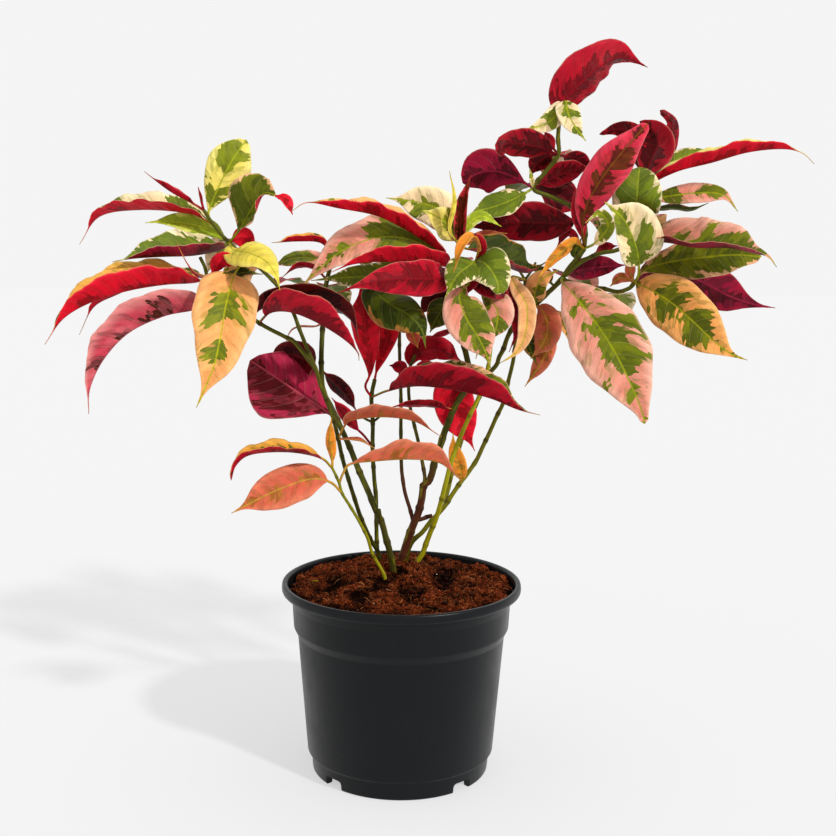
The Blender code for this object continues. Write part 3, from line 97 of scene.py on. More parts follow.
# sun from the upper right in front, pale room all round, pale floor
studio = {
    "sunWay": (-0.552, 0.595, -0.585),
    "sunPlace": (1.0, -1.0, 1.4),    # metres
    "sunStrength": 2.3,
    "sunSize": 4.0,                  # degrees, softens the shadows
    "roomStrength": 0.91,
    "roomTint": (1.0, 1.0, 1.0, 1.0),
    "floorTint": "909090",
    "floorGlow": 0.545,              # keeps the shadows as light as on white paper lit from all sides
    "floorReach": 6.0,               # metres
}


def makeStudio():
    sun = bpy.data.lights.new("sun", "SUN")
    sun.energy = studio["sunStrength"]
    sun.angle = math.radians(studio["sunSize"])
    lamp = putInScene("sun", sun)
    lamp.rotation_euler = Vector(studio["sunWay"]).to_track_quat("-Z", "Y").to_euler()
    lamp.location = studio["sunPlace"]
    world = bpy.data.worlds.new("room")
    world.use_nodes = True
    light = world.node_tree.nodes["Background"]
    light.inputs["Color"].default_value = studio["roomTint"]
    light.inputs["Strength"].default_value = studio["roomStrength"]
    bpy.context.scene.world = world
    reach = studio["floorReach"]
    floorMesh = bpy.data.meshes.new("floor")
    floorMesh.from_pydata([(-reach, -reach, 0), (reach, -reach, 0), (reach, reach, 0), (-reach, reach, 0)],
                          [], [(0, 1, 2, 3)])
    floor = putInScene("floor", floorMesh)
    paper = bpy.data.materials.new("floorPaper")
    paper.use_nodes = True
    shader = paper.node_tree.nodes["Principled BSDF"]
    shader.inputs["Base Color"].default_value = tint(studio["floorTint"])
    shader.inputs["Roughness"].default_value = 0.9
    shader.inputs["Specular IOR Level"].default_value = 0.0
    shader.inputs["Emission Color"].default_value = studio["roomTint"]
    shader.inputs["Emission Strength"].default_value = studio["floorGlow"]
    floorMesh.materials.append(paper)
    bpy.context.scene.view_settings.view_transform = "Standard"


makeCamera()
makeStudio()
print("camera, light and floor made")


# short way to lay shader nodes: a socket that is given gets linked, and a plain value is set
class Shader:
    def __init__(self, name):
        self.material = bpy.data.materials.new(name)
        self.material.use_nodes = True
        self.tree = self.material.node_tree
        self.surface = self.tree.nodes["Principled BSDF"]
        self.count = 0

    def put(self, socket, value):
        if isinstance(value, bpy.types.NodeSocket):
            self.tree.links.new(value, socket)
        else:
            socket.default_value = value

    def add(self, kind, values, **settings):
        node = self.tree.nodes.new(kind)
        node.location = (-1800 + 170 * (self.count % 9), 600 - 190 * (self.count // 9))
        self.count += 1
        for key, value in settings.items():
            setattr(node, key, value)
        for key, value in values.items():
            self.put(node.inputs[key], value)
        return node

    def read(self, name, output="Fac"):
        return self.add("ShaderNodeAttribute", {}, attribute_name=name).outputs[output]

    def math(self, operation, a, b=0.0, c=0.0):
        return self.add("ShaderNodeMath", {0: a, 1: b, 2: c}, operation=operation).outputs[0]

    def times(self, a, b):
        return self.math("MULTIPLY", a, b)

    def plus(self, a, b):
        return self.math("ADD", a, b)

    def step(self, value, low, high, lowOut=0.0, highOut=1.0):
        node = self.add("ShaderNodeMapRange", {"Value": value, "From Min": low, "From Max": high,
                                               "To Min": lowOut, "To Max": highOut})
        node.interpolation_type = "SMOOTHSTEP"
        return node.outputs["Result"]

    def mix(self, share, a, b, blend="MIX"):
        node = self.add("ShaderNodeMix", {}, data_type="RGBA", blend_type=blend)
        for place, value in ((0, share), (6, a), (7, b)):
            self.put(node.inputs[place], value)
        return node.outputs[2]

    def scaled(self, vector, x, y, z=1.0):
        return self.add("ShaderNodeMapping", {"Vector": vector, "Scale": (x, y, z)}).outputs[0]

    def noise(self, vector, scale, detail=3.0, roughness=0.55, distortion=0.0):
        node = self.add("ShaderNodeTexNoise", {"Vector": vector, "Scale": scale, "Detail": detail,
                                               "Roughness": roughness, "Distortion": distortion})
        return node.outputs[0]

    def cells(self, vector, scale=1.0, feature="F1", dimensions="3D"):
        return self.add("ShaderNodeTexVoronoi", {"Vector": vector, "Scale": scale}, feature=feature,
                        voronoi_dimensions=dimensions)

    # a number between 0 and 1 for each cell
    def chance(self, cells):
        return self.add("ShaderNodeSeparateColor", {"Color": cells.outputs["Color"]}).outputs[0]

    def bump(self, height, strength, distance):
        values = {"Height": height, "Strength": strength, "Distance": distance}
        return self.add("ShaderNodeBump", values).outputs[0]

    # gives the surface its look and returns the material
    def finish(self, tone, roughness, specular, normal):
        for key, value in (("Base Color", tone), ("Roughness", roughness), ("Specular IOR Level", specular),
                           ("Normal", normal)):
            self.put(self.surface.inputs[key], value)
        return self.material


def solid(name, verts, faces, materials, smooth=True):
    mesh = bpy.data.meshes.new(name)
    mesh.from_pydata((np.asarray(verts) * mm).tolist(), [], faces)
    for material in materials:
        mesh.materials.append(material)
    mesh.polygons.foreach_set("use_smooth", [smooth] * len(mesh.polygons))
    mesh.update()
    return putInScene(name, mesh)


def facesOut(made):
    mesh = bmesh.new()
    mesh.from_mesh(made.data)
    bmesh.ops.recalc_face_normals(mesh, faces=mesh.faces)
    mesh.to_mesh(made.data)
    mesh.free()


# pot: radii of the outer face and heights
pot = {
    "rimRadius": 85.0,
    "rimTop": 137.5,
    "rimDepth": 6.5,
    "bandRadius": 77.8,
    "bandFoot": 105.7,
    "bodyRadius": 73.6,
    "bodyTop": 100.0,
    "ledgeRadius": 66.7,
    "ledgeHeight": 14.4,
    "footRadius": 63.2,
    "wall": 2.6,
    "floor": 3.0,
    "gutterHeight": 7.5,
    "gutterOuter": 58.0,
    "gutterInner": 32.0,
    "notchWidth": 16.0,
    "notchHeight": 7.0,
    "firstNotch": 43.0,
    "notches": 4,
    "drainRadius": 4.5,
    "drains": 8,
    "drainSides": 24,
    "rimWall": 4.4,
    "segments": 144,
    "plastic": "05070a",
    "scuffed": "101316",
    "gloss": 0.30,
    "specular": 0.20,
    "dragScale": (260.0, 260.0, 9.0),    # faint upright drag lines; scales are spots to a metre
    "cloudScale": 28.0,
    "dustScale": 420.0,
    "grainScale": 1500.0,
    "sharpFrom": 38,                     # degrees between faces
}


def innerRadius(height):
    wallIn = pot["bodyRadius"] - pot["wall"]
    if height >= pot["bodyTop"]:
        share = (height - pot["bodyTop"]) / (pot["rimTop"] - pot["bodyTop"])
        return wallIn + share * (pot["rimRadius"] - pot["rimWall"] - wallIn)
    share = (height - pot["ledgeHeight"]) / (pot["bodyTop"] - pot["ledgeHeight"])
    return pot["ledgeRadius"] - pot["wall"] + share * (pot["bodyRadius"] - pot["ledgeRadius"])


# rounds the corners of an outline: each corner is (radius, height, rounding)
def rounded(corners, steps=4):
    outline = []
    count = len(corners)
    for index, (x, z, size) in enumerate(corners):
        here = Vector((x, z))
        if index in (0, count - 1) or size == 0:
            outline.append(here)
            continue
        before = Vector(corners[index - 1][:2]) - here
        after = Vector(corners[index + 1][:2]) - here
        cut = min(size, before.length * 0.45, after.length * 0.45)
        first = here + before.normalized() * cut
        last = here + after.normalized() * cut
        for step in range(steps + 1):
            t = step / steps
            outline.append((1 - t) ** 2 * first + 2 * t * (1 - t) * here + t * t * last)
    return outline


def plasticMaterial():
    s = Shader("mouldedPlastic")
    place = s.add("ShaderNodeTexCoord", {}).outputs["Object"]
    drag = s.noise(s.scaled(place, *pot["dragScale"]), 1.0, 3.0)
    cloud = s.noise(place, pot["cloudScale"], 4.0, 0.6)
    dust = s.noise(place, pot["dustScale"], 2.0, 0.7)
    scuff = s.times(s.step(cloud, 0.45, 0.75), s.step(dust, 0.45, 0.7))
    tone = s.mix(s.times(scuff, 0.55), tint(pot["plastic"]), tint(pot["scuffed"]))
    wear = s.plus(cloud, s.times(drag, 0.3))
    gloss = s.step(wear, 0.3, 1.0, pot["gloss"] - 0.05, pot["gloss"] + 0.14)
    grain = s.noise(place, pot["grainScale"], 2.0)
    height = s.plus(s.times(drag, 0.5), s.times(grain, 0.35))
    return s.finish(tone, gloss, pot["specular"], s.bump(height, 0.25, 0.0002))


def makePot():
    p = pot
    rimFoot = p["rimTop"] - p["rimDepth"]
    floorTop = p["gutterHeight"] + p["floor"]
    corners = [
        (0, 0, 0), (p["gutterInner"] - 1.5, 0, 1), (p["gutterInner"], p["gutterHeight"], 1.2),
        (p["gutterOuter"] - 1, p["gutterHeight"], 1.2), (p["gutterOuter"], 0, 1),
        (p["footRadius"] - 0.2, 0, 1.6), (p["footRadius"] + 1, p["ledgeHeight"] - 1.2, 1.2),
        (p["ledgeRadius"], p["ledgeHeight"], 0.8), (p["bodyRadius"], p["bodyTop"], 0.7),
        (p["bandRadius"] - 1.3, p["bandFoot"], 1.0), (p["bandRadius"], rimFoot - 1.5, 1.6),
        (p["rimRadius"] - 0.9, rimFoot - 0.4, 1.4), (p["rimRadius"], rimFoot + 1.8, 1.6),
        (p["rimRadius"] - 0.5, p["rimTop"], 2.0), (p["rimRadius"] - 4.0, p["rimTop"] - 0.3, 1.6),
        (p["rimRadius"] - 4.6, p["rimTop"] - 4.0, 1.2), (innerRadius(p["bodyTop"]), p["bodyTop"], 2.5),
        (innerRadius(p["ledgeHeight"]), p["ledgeHeight"], 2), (p["footRadius"] - 2.5, floorTop, 2),
        (0, floorTop, 0),
    ]
    outline = rounded(corners)
    mesh = bmesh.new()
    segments = p["segments"]
    rings = []
    for radius, height in outline:
        count = 1 if radius < 1e-6 else segments    # one point where the outline meets the axis
        angles = [math.tau * n / segments for n in range(count)]
        rings.append([mesh.verts.new(onRing(radius, angle, height)) for angle in angles])
    for ring, after in zip(rings, rings[1:]):
        for n in range(segments):
            other = (n + 1) % segments
            quad = [ring[n % len(ring)], ring[other % len(ring)],
                    after[other % len(after)], after[n % len(after)]]
            unique = list(dict.fromkeys(quad))
            if len(unique) > 2:
                mesh.faces.new(unique)
    bmesh.ops.scale(mesh, vec=(mm, mm, mm), verts=mesh.verts)
    bmesh.ops.recalc_face_normals(mesh, faces=mesh.faces)
    data = bpy.data.meshes.new("nurseryPot")
    mesh.to_mesh(data)
    mesh.free()
    made = putInScene("nurseryPot", data)
    data.materials.append(plasticMaterial())
    for n in range(p["notches"]):
        carve(made, notchBlock(p["firstNotch"] + n * 360 / p["notches"]))
    for n in range(p["drains"]):
        carve(made, drainPost((n + 0.5) * 360 / p["drains"]))
    data = made.data
    data.polygons.foreach_set("use_smooth", [True] * len(data.polygons))
    data.set_sharp_from_angle(angle=math.radians(pot["sharpFrom"]))
    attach(made, "root")
    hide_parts("pot")
    print("pot made,", len(data.polygons), "faces")


def carve(target, cutter):
    cutter.hide_render = True
    change = target.modifiers.new("carve", "BOOLEAN")
    change.operation = "DIFFERENCE"
    change.object = cutter
    change.solver = "EXACT"
    graph = bpy.context.evaluated_depsgraph_get()
    done = bpy.data.meshes.new_from_object(target.evaluated_get(graph))
    target.modifiers.remove(change)
    target.data = done
    bpy.data.objects.remove(cutter)


# a prism from an outline, swept from one place to another
def prism(outline, near, far):
    count = len(outline)
    verts = [tuple(near + point) for point in outline] + [tuple(far + point) for point in outline]
    faces = [(n, (n + 1) % count, (n + 1) % count + count, n + count) for n in range(count)]
    faces += [tuple(range(count)), tuple(range(2 * count - 1, count - 1, -1))]
    made = solid("cutter", verts, faces, [])
    facesOut(made)
    return made


def notchBlock(degrees):
    half, top = pot["notchWidth"] / 2, pot["notchHeight"]
    outline = [(-half, -2), (half, -2), (half, top - 2.4), (half - 0.7, top - 0.7), (half - 2.4, top),
               (2.4 - half, top), (0.7 - half, top - 0.7), (-half, top - 2.4)]
    angle = math.radians(degrees)
    out = Vector((math.cos(angle), math.sin(angle), 0))
    side = Vector((-math.sin(angle), math.cos(angle), 0))
    points = [side * across + Vector((0, 0, up)) for across, up in outline]
    return prism(points, out * (pot["gutterOuter"] - 4), out * (pot["footRadius"] + 6))


def drainPost(degrees):
    angle = math.radians(degrees)
    reach = (pot["gutterInner"] + pot["gutterOuter"]) / 2
    centre = Vector(onRing(reach, angle))
    sides = pot["drainSides"]
    ring = [Vector(onRing(pot["drainRadius"], math.tau * n / sides)) for n in range(sides)]
    low, high = pot["gutterHeight"] - 1, pot["gutterHeight"] + pot["floor"] + 1
    return prism(ring, centre + Vector((0, 0, low)), centre + Vector((0, 0, high)))


makePot()

# soil: a coarse fibrous filling, mounded round the stems
soil = {
    "level": 131.6,
    "clods": ((14.0, 6.0), (6.0, 4.4)),    # width and height of the lumps
    "crackWidth": 0.16,                    # between lumps, in lump sizes
    "waveSize": 19.0,
    "waveRise": 3.0,
    "crumbSize": 2.3,
    "crumbRise": 1.6,
    "grainSize": 0.9,
    "grainRise": 0.6,
    # painted shade: the soil is darkened down in the gaps between lumps
    "gapShadeBottom": 3.4,                      # below the mean level, where it is darkest
    "gapShadeSpan": 6.0,
    # broad darker patches, placed by noise
    "darkPatchSize": 15.0,
    "darkPatchDepth": 0.95,
    "mound": 8.5,
    "moundAt": (-2.0, 26.0),
    "moundSpread": 44.0,
    "rings": 130,
    "segments": 300,
    "fibres": 2600,
    "longFibre": (7, 18),
    "shortFibre": (1.4, 4.5),
    "longEvery": 16,
    "fibreBend": (-1.2, 1.2),
    "fibreLift": (0.0, 1.1),
    "fibreSlope": (-0.2, 0.6),
    "fibreRadius": (0.13, 0.30),
    "clumps": 1000,
    "clumpSize": (0.5, 1.7),
    "whiteGrains": 12,
    "whiteSize": (0.35, 0.7),
    "greenBits": 4,
    "greenSize": (1.0, 2.0),
    # colour of the painted shade down in the gaps
    "gap": "0c0301",
    "dark": "1e0803",
    "middle": "5a220b",
    "light": "a8542a",
    "fibreTints": ("84391a", "a85426", "c07c48", "5a220c", "6b2c10"),
    "whiteTint": "b8a894",
    "greenTint": "7c7012",
    "shadeFloor": 0.12,                    # how dark a fibre is in a gap
    "shadeSpan": 0.95,
    "shadePower": 1.3,
    "coarseScale": 150.0,
    "fineScale": 700.0,
    "roughness": 0.95,
    "specular": 0.03,
    "seed": 41,
}


def soilHeight(x, y):
    away = math.hypot(x - soil["moundAt"][0], y - soil["moundAt"][1]) / soil["moundSpread"]
    return soil["level"] + soil["mound"] * math.exp(-away * away)


def roughSoil(x, y):
    place = Vector((x, y, 0.0))
    height = soilHeight(x, y)
    height += soil["waveRise"] * noise.noise(place / soil["waveSize"])
    bent = place + 3.0 * Vector((noise.noise(place / 4.0), noise.noise(place / 4.0 + Vector((7, 2, 9))), 0))
    for size, rise in soil["clods"]:
        distances, _ = noise.voronoi(bent / size + Vector((size, 0, 0)))
        crack = max(0.0, soil["crackWidth"] - distances[1] + distances[0])
        height += rise * (math.sqrt(max(0.0, 1 - distances[0] ** 2)) - 0.7 - 0.6 * crack)
    height += soil["crumbRise"] * noise.noise(place / soil["crumbSize"] + Vector((2, 7, 5)))
    height += soil["grainRise"] * noise.noise(place / soil["grainSize"])
    return height


# 0 down in a gap, where the painted shade is darkest, 1 on top of a lump, and less in broad darker patches
def gapShadeAndPatches(x, y, height):
    lift = (height - soilHeight(x, y) + soil["gapShadeBottom"]) / soil["gapShadeSpan"]
    darkPatch = max(0.0, noise.noise(Vector((x, y, 40.0)) / soil["darkPatchSize"]) + 0.08)
    return min(1.0, max(0.0, lift - soil["darkPatchDepth"] * darkPatch))


def soilMaterial():
    s = Shader("pottingFibre")
    place = s.add("ShaderNodeTexCoord", {}).outputs["Object"]
    coarse = s.noise(place, soil["coarseScale"], 5.0, 0.7)
    fine = s.noise(place, soil["fineScale"], 4.0, 0.75, 0.6)
    tone = s.mix(s.step(coarse, 0.38, 0.60), tint(soil["dark"]), tint(soil["middle"]))
    tone = s.mix(s.step(fine, 0.50, 0.66), tone, tint(soil["light"]))
    # painted shade: down in the gaps and in the darker patches the soil takes the gap colour
    lit = s.step(s.read("gapShadeAndPatches"), 0.22, 0.86)
    tone = s.mix(lit, tint(soil["gap"]), tone)
    height = s.plus(coarse, s.times(fine, 0.8))
    return s.finish(tone, soil["roughness"], soil["specular"], s.bump(height, 0.9, 0.0012))


def grainMaterial():
    s = Shader("looseGrains")
    place = s.add("ShaderNodeTexCoord", {}).outputs["Object"]
    fine = s.noise(place, 900.0, 3.0, 0.7)
    own = s.read("groundTint", "Color")
    tone = s.mix(s.step(fine, 0.35, 0.7, 0.0, 0.45), own, tint(soil["dark"]))
    return s.finish(tone, 0.9, 0.05, s.bump(fine, 0.5, 0.0003))


def makeSoil():
    edge = innerRadius(soil["level"]) - 0.6
    verts, faces = [], []
    low = pot["gutterHeight"] + pot["floor"] + 0.4
    outline = [(innerRadius(pot["ledgeHeight"]) - 3.5, low),
               (innerRadius(pot["ledgeHeight"]) - 0.8, pot["ledgeHeight"] + 1),
               (innerRadius(pot["bodyTop"]) - 0.8, pot["bodyTop"]), (edge, soil["level"] - 4)]
    segments = soil["segments"]
    for radius, height in outline:
        verts.extend(onRing(radius, math.tau * n / segments, height) for n in range(segments))
    for ring in range(soil["rings"]):
        radius = edge * (1 - ring / soil["rings"])
        for n in range(segments):
            angle = math.tau * (n + 0.5 * (ring % 2)) / segments
            x, y, _ = onRing(radius, angle)
            verts.append((x, y, roughSoil(x, y)))
    rows = len(verts) // segments
    for row in range(rows - 1):
        for n in range(segments):
            other = (n + 1) % segments
            a, b = row * segments + n, row * segments + other
            faces.append((a, b, b + segments, a + segments))
    faces.append(tuple(range(segments))[::-1])
    verts.append((0, 0, roughSoil(0, 0)))
    start = (rows - 1) * segments
    for n in range(segments):
        faces.append((start + n, start + (n + 1) % segments, len(verts) - 1))
    made = solid("soilFill", verts, faces, [soilMaterial()])
    lifts = [gapShadeAndPatches(*vert) for vert in verts]
    made.data.attributes.new("gapShadeAndPatches", "FLOAT", "POINT").data.foreach_set("value", lifts)
    facesOut(made)
    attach(made, "root")
    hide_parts("soil")
    print("soil made,", len(faces), "faces")


# small solids that share one mesh: their points, faces and tints
class Heap:
    def __init__(self):
        self.verts, self.faces, self.tints = [], [], []

    def rod(self, points, radii, sides, colour):
        start = len(self.verts)
        for index, point in enumerate(points):
            ahead = points[min(index + 1, len(points) - 1)] - points[max(index - 1, 0)]
            side = ahead.cross(Vector((0.3, 0.2, 0.9))).normalized()
            up = ahead.cross(side).normalized()
            for n in range(sides):
                angle = math.tau * n / sides
                self.verts.append(point + radii[index] * (math.cos(angle) * side + math.sin(angle) * up))
                self.tints.append(colour)
        for index in range(len(points) - 1):
            for n in range(sides):
                a, b = start + index * sides + n, start + index * sides + (n + 1) % sides
                self.faces.append((a, b, b + sides, a + sides))
        self.faces.append(tuple(range(start, start + sides)))
        end = start + (len(points) - 1) * sides
        self.faces.append(tuple(range(end + sides - 1, end - 1, -1)))

    def lump(self, centre, size, colour, draw, detail=1):
        ball = bmesh.new()
        bmesh.ops.create_icosphere(ball, subdivisions=detail, radius=1.0)
        start = len(self.verts)
        shift = Vector([draw.uniform(0, 50) for _ in range(3)])
        for vert in ball.verts:
            swell = 1 + 0.7 * noise.noise(vert.co * 1.6 + shift)
            self.verts.append(centre + Vector([vert.co[k] * size[k] * swell for k in range(3)]))
            self.tints.append(colour)
        for face in ball.faces:
            self.faces.append(tuple(start + vert.index for vert in face.verts))
        ball.free()


# a tint darkened with the painted gap shade and the darker patches of the soil at that place
def shaded(colour, place):
    share = soil["shadeFloor"] + soil["shadeSpan"] * gapShadeAndPatches(*place) ** soil["shadePower"]
    return (*(shade * share for shade in colour[:3]), 1.0)


def makeGrains():
    draw = random.Random(soil["seed"])
    heap = Heap()
    edge = innerRadius(soil["level"]) - 3.0

    def somewhere():
        reach, angle = edge * math.sqrt(draw.random()), draw.uniform(0, math.tau)
        return onRing(reach, angle)[:2]

    tints = [tint(code) for code in soil["fibreTints"]]
    # fibres and clumps take the painted shade of the soil where they lie
    for index in range(soil["fibres"]):
        x, y = somewhere()
        isLong = index % soil["longEvery"] == 0
        heading = draw.uniform(0, math.tau)
        length = draw.uniform(*soil["longFibre" if isLong else "shortFibre"])
        bend, lift = draw.uniform(*soil["fibreBend"]), draw.uniform(*soil["fibreLift"])
        slope = draw.uniform(*soil["fibreSlope"]) if not isLong else 0.0
        radius = draw.uniform(*soil["fibreRadius"])
        points, count = [], 7 if isLong else 4
        for n in range(count):
            t = n / (count - 1)
            turn = heading + bend * (t - 0.5)
            if math.hypot(x, y) > edge + 1.5:
                break
            rise = radius * 0.4 + lift * 2 * t * (1 - t) + slope * length * t
            points.append(Vector((x, y, roughSoil(x, y) + rise)))
            x += math.cos(turn) * length / (count - 1)
            y += math.sin(turn) * length / (count - 1)
        if len(points) > 3:
            radii = [radius * (1 - 0.6 * abs(2 * n / (len(points) - 1) - 1)) for n in range(len(points))]
            heap.rod(points, radii, 4 if isLong else 3, shaded(draw.choice(tints), points[0]))
    for _ in range(soil["clumps"]):
        x, y = somewhere()
        size = draw.uniform(*soil["clumpSize"])
        flat = (size * draw.uniform(0.8, 1.7), size * draw.uniform(0.8, 1.7), size * draw.uniform(0.5, 0.8))
        colour = draw.choice(tints[3:] + [tint(soil["middle"]), tint(soil["dark"])])
        place = Vector((x, y, roughSoil(x, y)))
        heap.lump(place + Vector((0, 0, 0.1 * size)), flat, shaded(colour, place), draw)
    for _ in range(soil["whiteGrains"]):
        x, y = somewhere()
        size = draw.uniform(*soil["whiteSize"])
        place = Vector((x, y, roughSoil(x, y) + 0.4 * size))
        heap.lump(place, (size, size, size * 0.8), tint(soil["whiteTint"]), draw)
    for _ in range(soil["greenBits"]):
        x, y = somewhere()
        size = draw.uniform(*soil["greenSize"])
        place = Vector((x, y, roughSoil(x, y) + 0.4))
        heap.lump(place, (size * 1.5, size * 0.8, 0.4), tint(soil["greenTint"]), draw)
    made = solid("soilGrains", heap.verts, heap.faces, [grainMaterial()])
    colours = made.data.attributes.new("groundTint", "FLOAT_COLOR", "POINT")
    colours.data.foreach_set("color", np.asarray(heap.tints, dtype=np.float32).ravel())
    facesOut(made)
    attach(made, "root")
    print("loose fibres and clumps made,", len(heap.faces), "faces")


makeSoil()
makeGrains()

# coats of a leaf face: ground, margin, blotches along the midrib, veins, how far the blotches reach over
# the half blade, and how unevenly
coats = {
    "peach": ("e89a58", "eeac6c", "5f6712", "a6a30e", 0.07, 0.80),
    "palePeach": ("e8a468", "efb884", "8c7a20", "b8a430", 0.0, 0.30),
    "pinkGreen": ("d5806c", "e6a892", "565f10", "8f9410", 0.42, 0.80),
    "orangeGreen": ("e2934c", "eaa660", "4c5208", "8f8c0e", 0.45, 0.80),
    "orangeTop": ("d48a24", "dda44c", "4f560c", "9c8a1c", 0.24, 0.80),
    "creamGreen": ("ebcd9a", "f2dab0", "5f6c1c", "969c18", 0.40, 0.80),
    "yellowGreen": ("dcc95c", "e6d67c", "666e12", "98a016", 0.34, 0.80),
    "yellow": ("dcc548", "e2d060", "8a8a1c", "aca424", 0.03, 0.50),
    "greenCream": ("e6ca96", "eed6ac", "586818", "8a9420", 0.84, 0.30),
    "greenPeach": ("dc9c68", "e4ac80", "4c540e", "8c8e14", 0.84, 0.34),
    "lightGreen": ("b6c038", "d2d470", "8ea222", "b0bc2c", 0.62, 0.55),
    "darkGreen": ("6c7414", "b87038", "2e3804", "5c640c", 0.92, 0.34),
    "redGreen": ("ac1a26", "b83038", "3c1c08", "8c2412", 0.35, 0.6),
    "coral": ("c4563c", "d07456", "94501c", "b4862e", 0.05, 0.5),
    "orange": ("dc7c20", "e89438", "a06c20", "bc8c24", 0.05, 0.6),
    "pinkRed": ("c42038", "d23c50", "5a1410", "74420c", 0.30, 0.6),
    "brightRed": ("cc0820", "d8142c", "8c0410", "a80818", 0.16, 0.6),
    "crimson": ("a2081c", "b41028", "6a0410", "840818", 0.30, 0.6),
    "wine": ("84082a", "98102e", "4c0410", "8c1838", 0.40, 0.6),
    "magenta": ("a01c3c", "b42a4a", "580a12", "b04050", 0.42, 0.6),
    "darkCrimson": ("7c0616", "980c1e", "460308", "680610", 0.42, 0.6),
    "maroon": ("4c0408", "640a10", "280204", "5c0c10", 0.30, 0.6),
    "pinkPatched": ("b83848", "d2807c", "3c1608", "b0545c", 0.16, 0.9),
}

# every leaf's blade: its grid, its relief in millimetres and its finish
blade = {
    "rowStep": 2.2,
    "columns": 13,
    "stalkHalf": 0.9,
    "stalkDepth": 1.6,
    "thickness": 0.5,
    "rim": 0.22,
    "softFold": 0.2,                # how round the fold is at the midrib
    "veinStep": 8.5,
    "veinSlant": 0.50,
    "veinCurve": 0.018,             # bends the side veins forward towards the margin
    "quilting": 0.26,
    "pucker": 0.5,                  # small hollows and humps all over
    "marginWave": 0.8,
    "fullFoldFrom": 3.0,
    "gloss": 0.42,
    "specular": 0.09,
    "cellsAcross": 0.27,            # blotch cells for each millimetre
    "cellsAlong": 0.36,
    "curveSteps": 240,              # places kept along each midrib
    "wavePitch": (20, 30),
    "stalkStep": 2.5,
    "leastRows": 12,
    "drawnOutTip": (0.72, 0.93),
    "tipHalf": 0.8,
    "ribHalf": 0.9,
    "ridge": 0.5,                   # of the midrib under the blade
    "groove": 0.18,                 # and over it
    "underShift": 31.0,             # gives the underside a pattern of its own
    "paleVein": "f0dcb4",
    "veinShow": 0.22,               # how much the side veins stand out in colour
    "redVeins": 0.30,               # share of that on a red face
    "speck": "4a2410",
    "blunting": 0.62,               # length of the rounding, as a share of a blunt tip's width
    "narrowest": 0.3,
    "taper": 8.0,                   # over this length the stalk thins into the midrib
    "ripple": 0.03,                 # unevenness of the margin, as a share of the half width
    "rippleSize": 4.3,
    "swell": 0.05,                  # how far each half is domed
    "humpSize": (7.0, 4.5),
    "ribSpread": 0.8,
    "stalkToBlade": (-1.0, 7.0),    # where the round stalk turns into the thin blade
}
redCoats = ("redGreen", "pinkRed", "brightRed", "crimson", "wine", "darkCrimson", "maroon")


